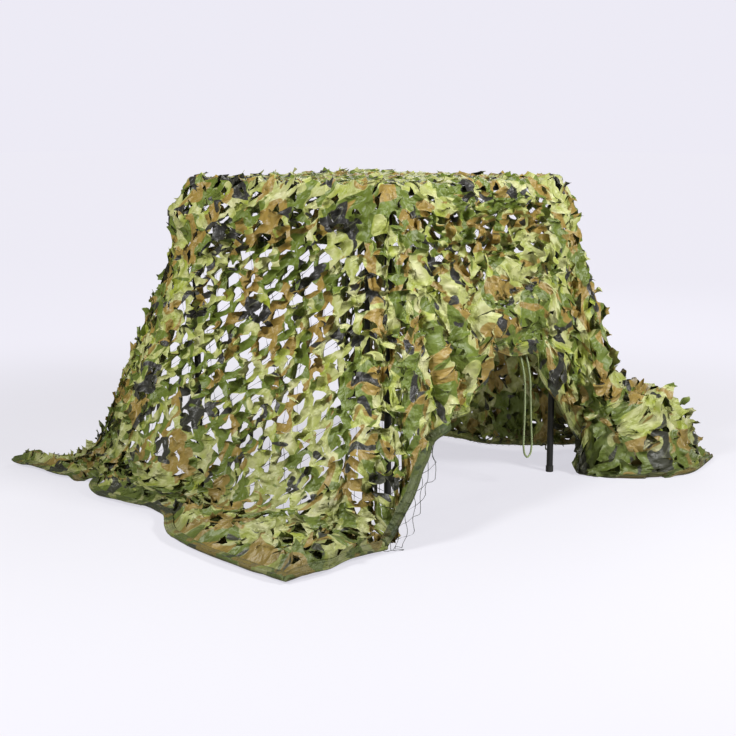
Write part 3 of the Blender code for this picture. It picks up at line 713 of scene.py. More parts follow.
def add_outlines(cuts):
    """Give the cuts their outline, and the sides of the diamond of cloth that each has.

    Both are rings of flat places. Between two corners the outline's radius is the reach
    times (cos 60 degrees / cos t) to the power of CUT_HOLLOW, with t from -60 to 60
    degrees. Two slow waves round the cut make it uneven. By the hem it is smaller and lies
    further in. The reach grows with the gape.
    """
    quarter = CUT_SIDES // 4
    share = np.arange(quarter)[:, None] / quarter
    corners = np.array([(1, 0), (0, 1), (-1, 0), (0, -1), (1, 0)]) * LEAF_STEP
    sides = np.concatenate([start + share * (finish - start)
                            for start, finish in zip(corners, corners[1:])])
    cuts.diamond = np.stack([cuts.a[:, None] + sides[:, 0], cuts.b[:, None] + sides[:, 1]])
    draw, gape = cuts.draw, cuts.gape
    cuts.first_corner = np.floor(CUT_SIDES / 3 + 15 * (draw[1] - 0.5)).astype(int) % CUT_SIDES
    past_corner = np.arange(CUT_SIDES) - cuts.first_corner[:, None]
    cuts.turned = turned = 2 * math.pi * past_corner / CUT_SIDES
    side_turn = 2 * math.pi * (past_corner % (CUT_SIDES // 3) / CUT_SIDES - 1 / 6)
    radius = (0.5 / np.cos(side_turn))**CUT_HOLLOW
    radius = radius * (1 + 0.16 * np.cos(turned + 6 * draw[3][:, None])
                       + 0.12 * np.cos(2 * turned + 6 * draw[11][:, None]))
    reach = CUT_REACH * (0.86 + 0.14 * gape + 0.25 * np.maximum(gape - 1, 0)
                         + 0.28 * (draw[2] - 0.5))
    radius = np.minimum(radius * reach[:, None], CUT_LIMIT * np.hypot(*sides.T))
    radius = radius * np.where(cuts.by_hem, CUT_BY_HEM, 1.0)[:, None]
    radius = np.where(cuts.whole[:, None], radius, NO_CUT)
    heading = np.arctan2(sides[:, 1], sides[:, 0])
    shift = CUT_STRAY * (draw[4:6] - 0.5) * 2 * cuts.whole
    for k, (place, size) in enumerate(((cuts.a, NET_LONG), (cuts.b, NET_WIDE))):
        near = np.minimum(place, size - place) < HEM_MARGIN[1]
        shift[k] += cuts.by_hem * CUT_INWARDS * near * np.sign(size / 2 - place)
    cuts.outline = np.stack([cuts.a[:, None] + shift[0][:, None] + radius * np.cos(heading),
                             cuts.b[:, None] + shift[1][:, None] + radius * np.sin(heading)])


def flat_with_edge(cuts, flat, cut_edge):
    """Places in the print, and with them 1 on a cut edge or 0 away from one."""
    flat = flat.reshape(-1, 2)
    if cuts.under:
        flat = flat + UNDER_PLACE
    return np.column_stack([flat, cut_edge.ravel().astype(float)])


def repeated(faces, points_each, count):
    """The faces of one cut's grid, once for each cut."""
    return (faces + points_each * np.arange(count)[:, None, None]).reshape(-1, faces.shape[1])


def ribbons(cuts):
    """The cloth between the cuts: rings from each outline out to its diamond.

    A ribbon's edge lifts and turns over by the curl, times 1 plus two waves round the cut.
    It fades outwards as the share left to the power of 1.5. The edge's lift is kept for the
    roots of the tongues.
    """
    outward = np.linspace(0, 1, RIBBON_ROWS + 1)[None, :, None]
    ring_a, ring_b = (cuts.outline[:, :, None] * (1 - outward)
                      + cuts.diamond[:, :, None] * outward)
    tilt = np.cos(cuts.turned + 2 * math.pi * cuts.draw[6][:, None])[:, None]
    edge = (1 - outward)**1.5 * (from_border(ring_a, ring_b) > 0)
    height = under_crumple if cuts.under else crumple
    lift = height(ring_a, ring_b)
    curl = cuts.outwards * (CURL[0] + CURL[1] * np.minimum(cuts.gape, 1.3))
    curl = curl * np.minimum(1.0, 0.4 + cuts.free)
    lift += (edge * (cuts.whole * curl)[:, None, None]
             * (1 + tilt + 0.4 * np.cos(3 * cuts.turned)[:, None]))
    cuts.edge_lift = lift[:, 0]
    flat = np.stack([np.clip(ring_a, 0, NET_LONG), np.clip(ring_b, 0, NET_WIDE)], axis=-1)
    cut_edge = np.broadcast_to((outward == 0) * cuts.whole[:, None, None], ring_a.shape)
    faces = grid_faces(RIBBON_ROWS + 1, CUT_SIDES, closed=True)[:, ::-1]
    return (on_drape(ring_a, ring_b, lift).reshape(-1, 3), flat_with_edge(cuts, flat, cut_edge),
            repeated(faces, (RIBBON_ROWS + 1) * CUT_SIDES, len(cuts.a)))


def tongues(cuts):
    """The cloth cut free in each cut: a grid that starts on the side between two corners.

    Its rows are chords across the cut, and the first follows the root. Each tongue rolls up
    away from the cloth: its angle grows evenly from root to tip, so the run along the cloth
    is a difference of sines and the rise one of cosines. A twist leans it to one side.
    """
    third = CUT_SIDES // 3
    cells = np.flatnonzero(cuts.whole)
    corner = cuts.first_corner[cells][:, None]
    row = np.arange(TONGUE_ROWS + 1)[None, :]
    left = (corner - third // TONGUE_ROWS * row) % CUT_SIDES
    right = (corner + third + third // TONGUE_ROWS * row) % CUT_SIDES
    root = (corner + np.arange(third + 1)[None, :]) % CUT_SIDES
    across = np.linspace(0, 1, third + 1)[None, None, :]
    fade = ((1 - row / TONGUE_ROWS)**2)[..., None]
    chords, roots = [], []
    for outline in cuts.outline[:, cells]:
        start = np.take_along_axis(outline, left, 1)[..., None]
        finish = np.take_along_axis(outline, right, 1)[..., None]
        chord = start + (finish - start) * across
        roots.append(np.take_along_axis(outline, root, 1)[:, None])
        chords.append(chord + fade * (roots[-1] - chord[:, :1]))
    root_wide = np.hypot(*(places[:, 0, -1] - places[:, 0, 0] for places in chords))
    for places in chords:
        root_way = (places[:, 0, -1] - places[:, 0, 0]) / root_wide
        places[:, -1] += TONGUE_TIP * root_way[:, None] * (across[0] - 0.5)
    tip = np.stack([places[:, -1, 0] - (places[:, 0, 0] + places[:, 0, -1]) / 2
                    for places in chords])
    length = np.hypot(*tip)
    way = (tip / length)[..., None, None]
    offsets = [places - base for places, base in zip(chords, roots)]
    out = (offsets[0] * way[0] + offsets[1] * way[1]) * TONGUE_STRETCH

    # How steeply the cloth rises where the tongue points, and the tongue's own angles.
    middle = [places[:, 0, third // 2] for places in chords]
    level = np.zeros(len(cells))
    step = 0.02
    ahead = on_drape(*(place + step * towards[:, 0, 0] for place, towards in zip(middle, way)),
                     level)
    upwards = np.clip((ahead - on_drape(*middle, level))[:, 2] / step, -1, 1)
    draw, free = cuts.draw[:, cells], cuts.free[cells]
    wide = np.clip(cuts.gape[cells], 0, 1) * free
    start_angle = np.radians(3 + wide * (58 + 14 * upwards) + 16 * draw[7] * free)
    end_angle = start_angle + np.radians(6 + wide * (90 + 35 * upwards) * (0.5 + draw[8])
                                         + 24 * draw[12]**2 * free)
    bend = ((end_angle - start_angle) / (length * TONGUE_STRETCH))[:, None, None]
    start_angle = start_angle[:, None, None]
    flat_run = (np.sin(start_angle + bend * out) - np.sin(start_angle)) / bend
    rise = (np.cos(start_angle) - np.cos(start_angle + bend * out)) / bend
    twist = (draw[9][:, None, None] - 0.5) * 0.8
    rise = TONGUE_DROOP * rise + twist * out * (across - 0.5)
    placed = [base + (offset - out / TONGUE_STRETCH * towards) + flat_run * towards
              for base, offset, towards in zip(roots, offsets, way)]
    root_lift = np.take_along_axis(cuts.edge_lift[cells], root, 1)[:, None]
    points = on_drape(*placed, root_lift + cuts.outwards * np.maximum(rise, 0.0))
    cut_edge = np.zeros(chords[0].shape)
    cut_edge[:, -1] = 1.0
    cut_edge[..., [0, -1]] = 1.0
    faces = grid_faces(TONGUE_ROWS + 1, third + 1)
    return (points.reshape(-1, 3), flat_with_edge(cuts, np.stack(chords, axis=-1), cut_edge),
            repeated(faces, (TONGUE_ROWS + 1) * (third + 1), len(cells)))


def leaf_cells(zone, under=False):
    """The ribbons and tongues of the cuts in one zone: points, flat places and faces."""
    cuts = chosen_cuts(zone, under)
    add_outlines(cuts)
    return joined([ribbons(cuts), tongues(cuts)])


def under_layer(a_low, a_high, b_low, b_high):
    """The plain second layer under one rectangle of the net: a grid on the drape."""
    a, b = np.meshgrid(np.arange(a_low, a_high, UNDER_STEP),
                       np.arange(b_low, b_high, UNDER_STEP), indexing="ij")
    points = on_drape(a, b, under_crumple(a, b))
    flat = np.stack([a + UNDER_PLACE[0], b + UNDER_PLACE[1], np.zeros(a.shape)], axis=-1)
    return points.reshape(-1, 3), flat.reshape(-1, 3), grid_faces(*a.shape)[:, ::-1]


def joined(parts):
    """Parts of points, flat places and faces, put together into one."""
    starts = np.cumsum([0] + [len(points) for points, _, _ in parts[:-1]])
    return (np.concatenate([points for points, _, _ in parts]),
            np.concatenate([flat for _, flat, _ in parts]),
            np.concatenate([faces + start for (_, _, faces), start in zip(parts, starts)]))


def weld(points, flat, faces):
    """Join points that share a place, to 0.05 mm, and drop faces that have then no width."""
    key = np.round(points * 2e4).astype(np.int64)
    _, kept, number = np.unique(key, axis=0, return_index=True, return_inverse=True)
    faces = number.reshape(-1)[faces]
    sound = np.ones(len(faces), bool)
    for k in range(4):
        sound &= faces[:, k] != faces[:, (k + 1) % 4]
    sound &= (faces[:, 0] != faces[:, 2]) & (faces[:, 1] != faces[:, 3])
    return points[kept], flat[kept], faces[sound]


PRINT_LIGHT = (0.312, 0.366, 0.032)     # the colour under the blotches
PRINT_LIGHT_WORN = (0.590, 0.580, 0.325)
# Paler cut edges: frayed fibres, and a painted highlight along them.
CUT_EDGE_COLOUR = (0.50, 0.52, 0.28)
# Painted shade near the ground: this dark colour is mixed into the cloth, most at the floor and
# gone higher up.
GROUND_SHADE_COLOUR = (0.042, 0.048, 0.017)
GROUND_SHADE_MOST = 0.84        # its share at the floor
GROUND_SHADE_HEIGHT = 0.42      # where it is gone
PRINT_EDGE = 0.004      # a blotch's edge runs over this much of the noise, either way
# The blotches, from the first screen to the last: colour, size in metres, how far they are
# drawn out along the net, and the level of the noise above which they are printed.
PRINT_SCREENS = {
    "mid_green": ((0.124, 0.172, 0.016), 0.150, 0.75, 0.520),
    "brown": ((0.310, 0.208, 0.042), 0.170, 1.35, 0.574),
    "black": ((0.021, 0.020, 0.020), 0.125, 0.80, 0.628),
}


def group_sockets(name, inputs, outputs):
    """A new shader node group with its sockets, and its input and output nodes."""
    group = bpy.data.node_groups.new(name, "ShaderNodeTree")
    for label, kind in inputs.items():
        group.interface.new_socket(label, in_out="INPUT", socket_type="NodeSocket" + kind)
    for label, kind in outputs.items():
        group.interface.new_socket(label, in_out="OUTPUT", socket_type="NodeSocket" + kind)
    return group, group.nodes.new("NodeGroupInput"), group.nodes.new("NodeGroupOutput")


def woodland_print():
    """Screen-printed blotches: one field of warped noise for each screen, cut off sharply.

    Under them is one colour that fades to another by finer noise.
    """
    group, given, result = group_sockets("woodland_print", {"Place": "Vector"},
                                         {"Color": "Color"})
    place = given.outputs["Place"]
    faded = add_node(group, "TexNoise", {"Vector": place, "Scale": 16.0, "Detail": 3.0})
    fading = add_node(group, "MapRange", {"Value": faded.outputs["Fac"], "From Min": 0.35,
                                          "From Max": 0.70})
    printed = add_node(group, "Mix", {0: fading.outputs[0], 6: (*PRINT_LIGHT, 1.0),
                                      7: (*PRINT_LIGHT_WORN, 1.0)},
                       data_type="RGBA").outputs[2]
    for number, (colour, size, drawn, level) in enumerate(PRINT_SCREENS.values()):
        moved = add_node(group, "Mapping", {"Vector": place, "Scale": (1.0, drawn, 1.0),
                                            "Location": (3.1 * number, 1.7, number)})
        noise = add_node(group, "TexNoise", {"Vector": moved.outputs[0], "Scale": 1.35 / size,
                                             "Detail": 1.2, "Roughness": 0.45,
                                             "Distortion": 0.9})
        edge = add_node(group, "MapRange", {"Value": noise.outputs["Fac"],
                                            "From Min": level - PRINT_EDGE,
                                            "From Max": level + PRINT_EDGE})
        printed = add_node(group, "Mix", {0: edge.outputs[0], 6: printed, 7: (*colour, 1.0)},
                           data_type="RGBA").outputs[2]
    group.links.new(printed, result.inputs["Color"])
    return group


def cloth_surface():
    """Crumpled oxford cloth: a plain weave, soft dents and the sharp creases of a packed net.

    The weave is a sine across times a sine along, both Pitch long. The dents are noise, and
    the creases are the distance from the middles of cells that the noise bends.
    """
    group, given, result = group_sockets("cloth_surface", {"Place": "Vector", "Pitch": "Float"},
                                         {"Normal": "Vector", "Dent": "Float"})
    place = given.outputs["Place"]
    turns = add_node(group, "Math", {0: 2 * math.pi, 1: given.outputs["Pitch"]},
                     operation="DIVIDE").outputs[0]
    threads = add_node(group, "VectorMath", {0: place, "Scale": turns}, operation="SCALE")
    waves = add_node(group, "VectorMath", {0: threads.outputs[0]}, operation="SINE")
    split = add_node(group, "SeparateXYZ", {0: waves.outputs[0]})
    weave = add_node(group, "Math", {0: split.outputs[0], 1: split.outputs[1]},
                     operation="MULTIPLY")
    dents = add_node(group, "TexNoise", {"Vector": place, "Scale": 38.0, "Detail": 2.5})
    bent = add_node(group, "Mix", {0: 0.03, 4: place, 5: dents.outputs["Color"]},
                    data_type="VECTOR")
    creases = add_node(group, "TexVoronoi", {"Vector": bent.outputs[1], "Scale": 26.0})
    fine = add_node(group, "Bump", {"Height": weave.outputs[0], "Strength": 0.18,
                                    "Distance": 0.0003})
    soft = add_node(group, "Bump", {"Height": dents.outputs["Fac"], "Strength": 1.0,
                                    "Distance": 0.010, "Normal": fine.outputs[0]})
    sharp = add_node(group, "Bump", {"Height": creases.outputs["Distance"], "Strength": 0.75,
                                     "Distance": 0.012, "Normal": soft.outputs[0]})
    group.links.new(sharp.outputs[0], result.inputs["Normal"])
    group.links.new(dents.outputs["Fac"], result.inputs["Dent"])
    return group


def net_finish():
    """Printed polyester, faintly lustrous, duller in its dents, paler along the cuts by fraying
    and a painted highlight, and darker near the ground by painted shade.
    """
    finish, tree, shader = new_finish("leaf_cut_cloth", 0.5, sheen_weight=0.05,
                                      sheen_roughness=0.4, specular_ior_level=0.72)
    place = add_node(tree, "UVMap", uv_map="flat").outputs["UV"]
    printed = add_node(tree, "Group", {"Place": place}, node_tree=print_group)
    surface = add_node(tree, "Group", {"Place": place, "Pitch": 0.0009},
                       node_tree=surface_group)
    rough = add_node(tree, "MapRange", {"Value": surface.outputs["Dent"], "To Min": 0.39,
                                        "To Max": 0.59})
    from_cut = add_node(tree, "Attribute", attribute_name="cut_edge").outputs["Fac"]
    # Paler along the cut edges: frayed fibres, and a painted highlight.
    frayed_and_highlit = add_node(tree, "MapRange", {"Value": from_cut, "From Min": 0.72, "From Max": 0.95,
                                         "To Max": 0.16})
    colour = add_node(tree, "Mix", {0: frayed_and_highlit.outputs[0], 6: printed.outputs["Color"],
                                    7: (*CUT_EDGE_COLOUR, 1.0)}, data_type="RGBA")
    # Painted shade near the ground darkens the colour.
    ground_shaded = add_node(tree, "Group", {"Color": colour.outputs[2]}, node_tree=ground_shade_group)
    tree.links.new(ground_shaded.outputs["Color"], shader.inputs["Base Color"])
    tree.links.new(rough.outputs[0], shader.inputs["Roughness"])
    tree.links.new(surface.outputs["Normal"], shader.inputs["Normal"])
    return finish


def painted_ground_shade():
    """Painted shade near the ground: the colour is darkened most at the floor, gone by knee
    height, and patchy.
    """
    group, given, result = group_sockets("painted_ground_shade", {"Color": "Color"}, {"Color": "Color"})
    place = add_node(group, "TexCoord").outputs["Object"]
    height = add_node(group, "SeparateXYZ", {0: place}).outputs["Z"]
    patches = add_node(group, "TexNoise", {"Vector": place, "Scale": 9.0, "Detail": 3.0})
    low = add_node(group, "MapRange", {"Value": height, "From Min": 0.0,
                                       "From Max": GROUND_SHADE_HEIGHT, "To Min": GROUND_SHADE_MOST,
                                       "To Max": 0.0})
    share = add_node(group, "Math", {0: low.outputs[0], 1: patches.outputs["Fac"]},
                     operation="MULTIPLY")
    ground_shaded = add_node(group, "Mix", {0: share.outputs[0], 6: given.outputs["Color"],
                                     7: (*GROUND_SHADE_COLOUR, 1.0)}, data_type="RGBA")
    group.links.new(ground_shaded.outputs[2], result.inputs["Color"])
    return group


ground_shade_group = painted_ground_shade()
print_group = woodland_print()
surface_group = cloth_surface()
leaf_cloth = net_finish()
# Each width's low and high a, and the rails that it rests on.
NET_WIDTHS = {
    "net_left": (-1.0, OVERHANG_LEFT, ("rail_left",)),
    "net_middle": (OVERHANG_LEFT, OVERHANG_LEFT + FRAME_SIDE, ("rail_front", "rail_back")),
    "net_right": (OVERHANG_LEFT + FRAME_SIDE, NET_LONG + 1.0, ("rail_right",)),
}
for name, (low, high, rails) in NET_WIDTHS.items():
    layers = [leaf_cells((low, high, 0.0, math.inf))]
    layers += [under_layer(*zone) for zone in UNDER_ZONES[name]]
    if name == "net_right":
        layers.append(leaf_cells(UNDER_WALL, under=True))
    points, flat, faces = weld(*joined(layers))
    piece = make_piece(name, points, faces, leaf_cloth, flat[:, :2], crease=55)
    cut_edge = piece.data.attributes.new("cut_edge", "FLOAT", "POINT")
    cut_edge.data.foreach_set("value", flat[:, 2].astype(np.float32))
    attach(piece, "root")
    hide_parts("net_cloth")


# --- Hems -----------------------------------------------------------------------------
# A binding of the same printed cloth, folded over the net's edge and sewn down with two
# rows of dark thread. Its outer edge is rolled, and it puckers along the stitches.
# The plain green side's colour, dark as painted shade. A quarter of it is mixed into every
# binding's print.
BINDING_SHADED_GREEN = (0.036, 0.060, 0.014)
HEM_WIDE = 0.041
HEM_STEP = 0.010
HEM_LOW = 0.0003        # no point of a binding is lower over the floor
# By the opening the front hem is turned over to face this way, between two places along it,
# and stands further out. From one to another of its places it shows its plain green side,
# painted dark as shade.
HEM_FACES = (-0.72, -0.66, 0.20)
HEM_TURNED = (0.56, 1.36)
HEM_OUT = 0.007
HEM_GREEN = (0.56, 1.08)
STITCH_PITCH = 0.006
STITCH_ROWS = (0.0130, 0.0345)      # how far in from the edge
STITCH_HALF_WIDE = (0.0006, 0.0012)     # without its soft side, and with it
STITCH_COLOUR = (0.020, 0.026, 0.012)
# Round the binding: how far in from the net's edge, and how far above the net's middle.
HEM_SECTION = np.array([
    (0.0410, 0.0016), (0.0340, 0.0030), (0.0255, 0.0036), (0.0180, 0.0034), (0.0120, 0.0052),
    (0.0065, 0.0072), (0.0015, 0.0060), (-0.0010, 0.0026), (0.0010, -0.0010),
    (0.0110, -0.0019), (0.0260, -0.0019), (0.0400, -0.0018),
])


def hem_strip(start, finish, inwards, cut, wide, turned=None):
    """The binding along one edge of the flat net, from start to finish.

    Its section is laid out between the edge and the line HEM_WIDE inside it, wide times as
    far across and 1 / wide**1.5 times as high. Puckers are added: 1 plus two sines along the
    edge, 60 and 170 mm long. Between the two places in turned it is laid out square to
    HEM_FACES instead, HEM_OUT further out, and eased in and out of that. Both ends close to
    a line, with a point in it to close the tube.
    """
    start, finish, inwards = np.array(start), np.array(finish), np.array(inwards)
    length = np.linalg.norm(finish - start)
    along = np.linspace(cut, length - cut, int(length / HEM_STEP))
    edge = start + along[:, None] * (finish - start) / length
    inner = edge + HEM_WIDE * inwards
    low, high = (on_drape(*line.T, crumple(*line.T) - CLOTH / 2) for line in (edge, inner))
    across = (high - low) / np.linalg.norm(high - low, axis=1, keepdims=True)
    ahead = np.gradient(low, axis=0)
    if turned is not None:
        square = np.cross(HEM_FACES, ahead)
        square /= np.linalg.norm(square, axis=1, keepdims=True)
        share = smooth_step(along, turned[0] - 0.3, turned[0]) * smooth_step(
            -along, -turned[1] - 0.1, -turned[1])
        low = low + HEM_OUT * share[:, None] * np.array(HEM_FACES)
        across = across * (1 - share[:, None]) + square * share[:, None]
        across /= np.linalg.norm(across, axis=1, keepdims=True)
    up = np.cross(ahead, across)
    up /= np.linalg.norm(up, axis=1, keepdims=True)
    facing = drape_normals(*drawn_down(*edge.T))
    if turned is not None:
        facing = facing * (1 - share[:, None]) + np.array(HEM_FACES) * share[:, None]
    up *= np.sign((up * facing).sum(1, keepdims=True))
    pucker = (1 + 0.25 * np.sin(2 * math.pi * along / 0.060 + 2 * np.sin(along * 17))
              + 0.45 * np.sin(2 * math.pi * along / 0.170 + 3 * np.sin(along * 5)))
    taper = np.ones(len(along))
    taper[[0, -1]] = 0.02
    raised = HEM_SECTION[:, 1] > 0
    height = HEM_SECTION[:, 1] * np.where(raised, wide**-1.5, 1.0)
    height = (height + 0.0022 * pucker[:, None] * raised) * taper[:, None]
    section = HEM_SECTION[:, 0] * wide
    points = (low[:, None] + section[None, :, None] * across[:, None]
              + height[..., None] * up[:, None])
    points[..., 2] = np.maximum(points[..., 2], HEM_LOW)
    flat = edge[:, None] + HEM_SECTION[None, :, 0, None] * inwards
    flat = flat + (HEM_SECTION[:, 1] < 0)[None, :, None] * 0.31
    seam = np.stack(np.broadcast_arrays(along[:, None], HEM_SECTION[:, 0], 0.0), axis=-1)
    faces, kept = closed_tube(len(along) + 2, len(HEM_SECTION))
    return (*(with_poles(grid).reshape(-1, grid.shape[-1])[kept]
              for grid in (points, flat, seam)), faces)


def with_poles(grid):
    """A grid of rings with the middle of its end rings, as rings too, before and after it."""
    first, last = grid[[0, -1]].mean(axis=1, keepdims=True) + np.zeros_like(grid[:2])
    return np.concatenate([first[None], grid, last[None]])


def stitching():
    """Two rows of stitches along a binding: dashes where a sine along it is high."""
    group, given, result = group_sockets("stitching", {"Seam": "Vector"}, {"Mask": "Float"})
    seam = add_node(group, "SeparateXYZ", {0: given.outputs["Seam"]})
    turned = add_node(group, "Math", {0: seam.outputs["X"], 1: 2 * math.pi / STITCH_PITCH},
                      operation="MULTIPLY")
    wave = add_node(group, "Math", {0: turned.outputs[0]}, operation="SINE")
    dash = add_node(group, "MapRange", {"Value": wave.outputs[0], "From Min": -0.5,
                                        "From Max": -0.2})
    rows = []
    for row in STITCH_ROWS:
        away = add_node(group, "Math", {0: seam.outputs["Y"], 1: row}, operation="SUBTRACT")
        size = add_node(group, "Math", {0: away.outputs[0]}, operation="ABSOLUTE")
        rows.append(add_node(group, "MapRange", {"Value": size.outputs[0],
                                                 "From Min": STITCH_HALF_WIDE[0],
                                                 "From Max": STITCH_HALF_WIDE[1],
                                                 "To Min": 1.0, "To Max": 0.0}).outputs[0])
    either = add_node(group, "Math", {0: rows[0], 1: rows[1]}, operation="MAXIMUM")
    mask = add_node(group, "Math", {0: either.outputs[0], 1: dash.outputs[0]},
                    operation="MULTIPLY")
    group.links.new(mask.outputs[0], result.inputs["Mask"])
    return group


def hem_finish(name, plain_from=None, plain_to=None):
    """Binding cloth: printed, and turned plain green side out between two places along a. The
    plain green is painted dark as shade, and painted shade near the ground darkens it all.
    """
    finish, tree, shader = new_finish(name, 0.6, sheen_weight=0.05)
    place = add_node(tree, "UVMap", uv_map="flat").outputs["UV"]
    printed = add_node(tree, "Group", {"Place": place}, node_tree=print_group)
    surface = add_node(tree, "Group", {"Place": place, "Pitch": 0.0011},
                       node_tree=surface_group)
    worn = add_node(tree, "TexNoise", {"Vector": place, "Scale": 30.0, "Detail": 3.0})
    shade = add_node(tree, "MapRange", {"Value": worn.outputs["Fac"], "To Min": 0.55,
                                        "To Max": 1.0})
    # The plain green, dark as painted shade: a quarter of it everywhere, and most of it where the
    # plain side shows.
    faint = add_node(tree, "Mix", {0: 0.25, 6: printed.outputs["Color"],
                                   7: (*BINDING_SHADED_GREEN, 1.0)}, data_type="RGBA")
    if plain_from is not None:
        along = add_node(tree, "SeparateXYZ", {0: place}).outputs["X"]
        begun = add_node(tree, "MapRange", {"Value": along, "From Min": plain_from - 0.1,
                                            "From Max": plain_from, "To Min": 0.25,
                                            "To Max": 0.85})
        ended = add_node(tree, "MapRange", {"Value": along, "From Min": plain_to,
                                            "From Max": plain_to + 0.1, "To Min": 0.85,
                                            "To Max": 0.25})
        plain = add_node(tree, "Math", {0: begun.outputs[0], 1: ended.outputs[0]},
                         operation="MINIMUM")
        tree.links.new(plain.outputs[0], faint.inputs[0])
    colour = add_node(tree, "Mix", {0: 1.0, 6: faint.outputs[2], 7: shade.outputs[0]},
                      data_type="RGBA", blend_type="MULTIPLY")
    # Painted shade near the ground darkens the colour.
    ground_shaded = add_node(tree, "Group", {"Color": colour.outputs[2]}, node_tree=ground_shade_group)
    seam = add_node(tree, "Attribute", attribute_name="seam").outputs["Vector"]
    stitches = add_node(tree, "Group", {"Seam": seam}, node_tree=stitch_group).outputs["Mask"]
    sewn = add_node(tree, "Mix", {0: stitches, 6: ground_shaded.outputs["Color"],
                                  7: (*STITCH_COLOUR, 1.0)}, data_type="RGBA")
    raised = add_node(tree, "Bump", {"Height": stitches, "Strength": 0.8, "Distance": 0.0008,
                                     "Normal": surface.outputs["Normal"]})
    tree.links.new(sewn.outputs[2], shader.inputs["Base Color"])
    tree.links.new(raised.outputs[0], shader.inputs["Normal"])
    return finish


stitch_group = stitching()
printed_edge = hem_finish("edge_tape")
green_edge = hem_finish("edge_tape_front", *HEM_GREEN)
# The frame's node that each replaces, its ends on the flat net, the way inwards, how far it
# is cut short at both ends, and its width as a share of HEM_WIDE.
HEMS = {
    "hem_front": ("tape_front", (0, 0), (NET_LONG, 0), (0, 1), 0.0, 0.72),
    "hem_back": ("tape_back", (0, NET_WIDE), (NET_LONG, NET_WIDE), (0, -1), 0.0, 0.75),
    "hem_left": ("tape_left", (0, 0), (0, NET_WIDE), (1, 0), 0.012, 0.70),
    "hem_right": ("tape_right", (NET_LONG, 0), (NET_LONG, NET_WIDE), (-1, 0), 0.012, 0.70),
}
for name, (tape, start, finish, inwards, cut, wide) in HEMS.items():
    turned = HEM_TURNED if name == "hem_front" else None
    points, flat, seam, faces = hem_strip(start, finish, inwards, cut, wide, turned)
    if name in ("hem_back", "hem_left"):
        faces = faces[:, ::-1]
    binding = green_edge if name == "hem_front" else printed_edge
    piece = make_piece(name, points, faces, binding, flat, crease=60)
    seam_places = piece.data.attributes.new("seam", "FLOAT_VECTOR", "POINT")
    seam_places.data.foreach_set("vector", seam.astype(np.float32).ravel())
    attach(piece, "root")
    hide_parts(tape)


# --- Backing mesh ---------------------------------------------------------------------
# Thin dark nylon threads, knotted where they cross into diamonds. The printed cloth is
# tied to it, and by the lifted hem it has come loose and hangs down to the ground.
THREAD_RADIUS = 0.0005
KNOT_RADIUS = 0.0011
THREAD_PITCH = 0.035    # half a diamond, along either side of the flat net
THREAD_PARTS = 3        # straight pieces from knot to knot
THREAD_LOW = 0.0012     # no thread's middle is lower over the floor
THREAD_COLOURS = ((0.012, 0.016, 0.010), (0.045, 0.050, 0.035))
MESH_MARGIN = 0.004     # from the net's border to the nearest thread
LOOSE_PARTS = 5
LOOSE_SPAN = (0.42, 1.06)   # the places along the front hem between which it hangs
LOOSE_PITCH = 0.040     # half a diamond of the loose mesh, along the hem
LOOSE_REACH = 0.058     # from the hem to its outer side
LOOSE_WAY = np.array([0.68, -0.06, -0.73])
LOOSE_SLACK = 0.024


def thread_tubes(places, ups, knots, there, thread):
    """Three-sided tubes along rows of points, with a swelling at each knot.

    places and ups are (row, point, xyz). A tube has a ring of three corners at each point,
    and a piece of it is left out where there says that either of its ends isn't real. A
    triangle closes each end.
    """
    rows, count = places.shape[:2]
    ahead = np.gradient(places, axis=1)
    side = np.cross(ups, ahead)
    side /= np.maximum(np.linalg.norm(side, axis=2, keepdims=True), 1e-9)
    turn = 2 * math.pi * np.arange(3) / 3
    radius = np.where(knots, KNOT_RADIUS, thread)[None, :, None, None]
    rings = places[:, :, None] + radius * (np.cos(turn)[:, None] * side[:, :, None]
                                           + np.sin(turn)[:, None] * ups[:, :, None])
    quads = grid_faces(count, 3, closed=True).reshape(count - 1, 3, 4)
    quads = quads[None] + (3 * count * np.arange(rows))[:, None, None, None]
    quads = quads[there[:, 1:] & there[:, :-1]].reshape(-1, 4)
    corners = np.arange(3 * rows * count).reshape(rows, count, 3)
    real = np.pad(there[:, 1:] & there[:, :-1], ((0, 0), (1, 1)))
    begins, ends = real[:, 1:] & ~real[:, :-1], real[:, :-1] & ~real[:, 1:]
    faces = np.concatenate([quads[:, :3], quads[:, [0, 2, 3]], corners[begins][:, ::-1],
                            corners[ends]])
    used, faces = np.unique(faces, return_inverse=True)
    return rings.reshape(-1, 3)[used], faces.reshape(-1, 3)


def mesh_threads(slope):
    """Every thread that runs one way across the flat net: a = start + slope * b.

    It wanders by soft noise, and lies under the cloth at four fifths of the crumple's height,
    but flat over the frame.
    """
    step = THREAD_PITCH / THREAD_PARTS
    b = np.arange(0, NET_WIDE + step / 2, step)
    starts = np.arange(-NET_WIDE, NET_LONG + NET_WIDE, 2 * THREAD_PITCH)
    a = starts[:, None] + slope * b[None, :]
    b = np.broadcast_to(b, a.shape)
    there = from_border(a, b) > MESH_MARGIN
    loose_a = a + 0.010 * (hills(a, b, 0.07, 31) - 0.5)
    loose_b = b + 0.010 * (hills(a, b, 0.07, 32) - 0.5)
    below = 0.8 * (crumple(loose_a, loose_b) - CLOTH / 2)
    lift = below * (1 - over_frame(a, b, -0.05, 0.0)) - CLOTH
    places = on_drape(loose_a, loose_b, np.where(there, lift, 0.0))
    places[..., 2] = np.maximum(places[..., 2], THREAD_LOW)
    ups = drape_normals(*drawn_down(a, b))
    knots = np.arange(a.shape[1]) % THREAD_PARTS == 0
    return thread_tubes(places, ups, knots, there, THREAD_RADIUS)


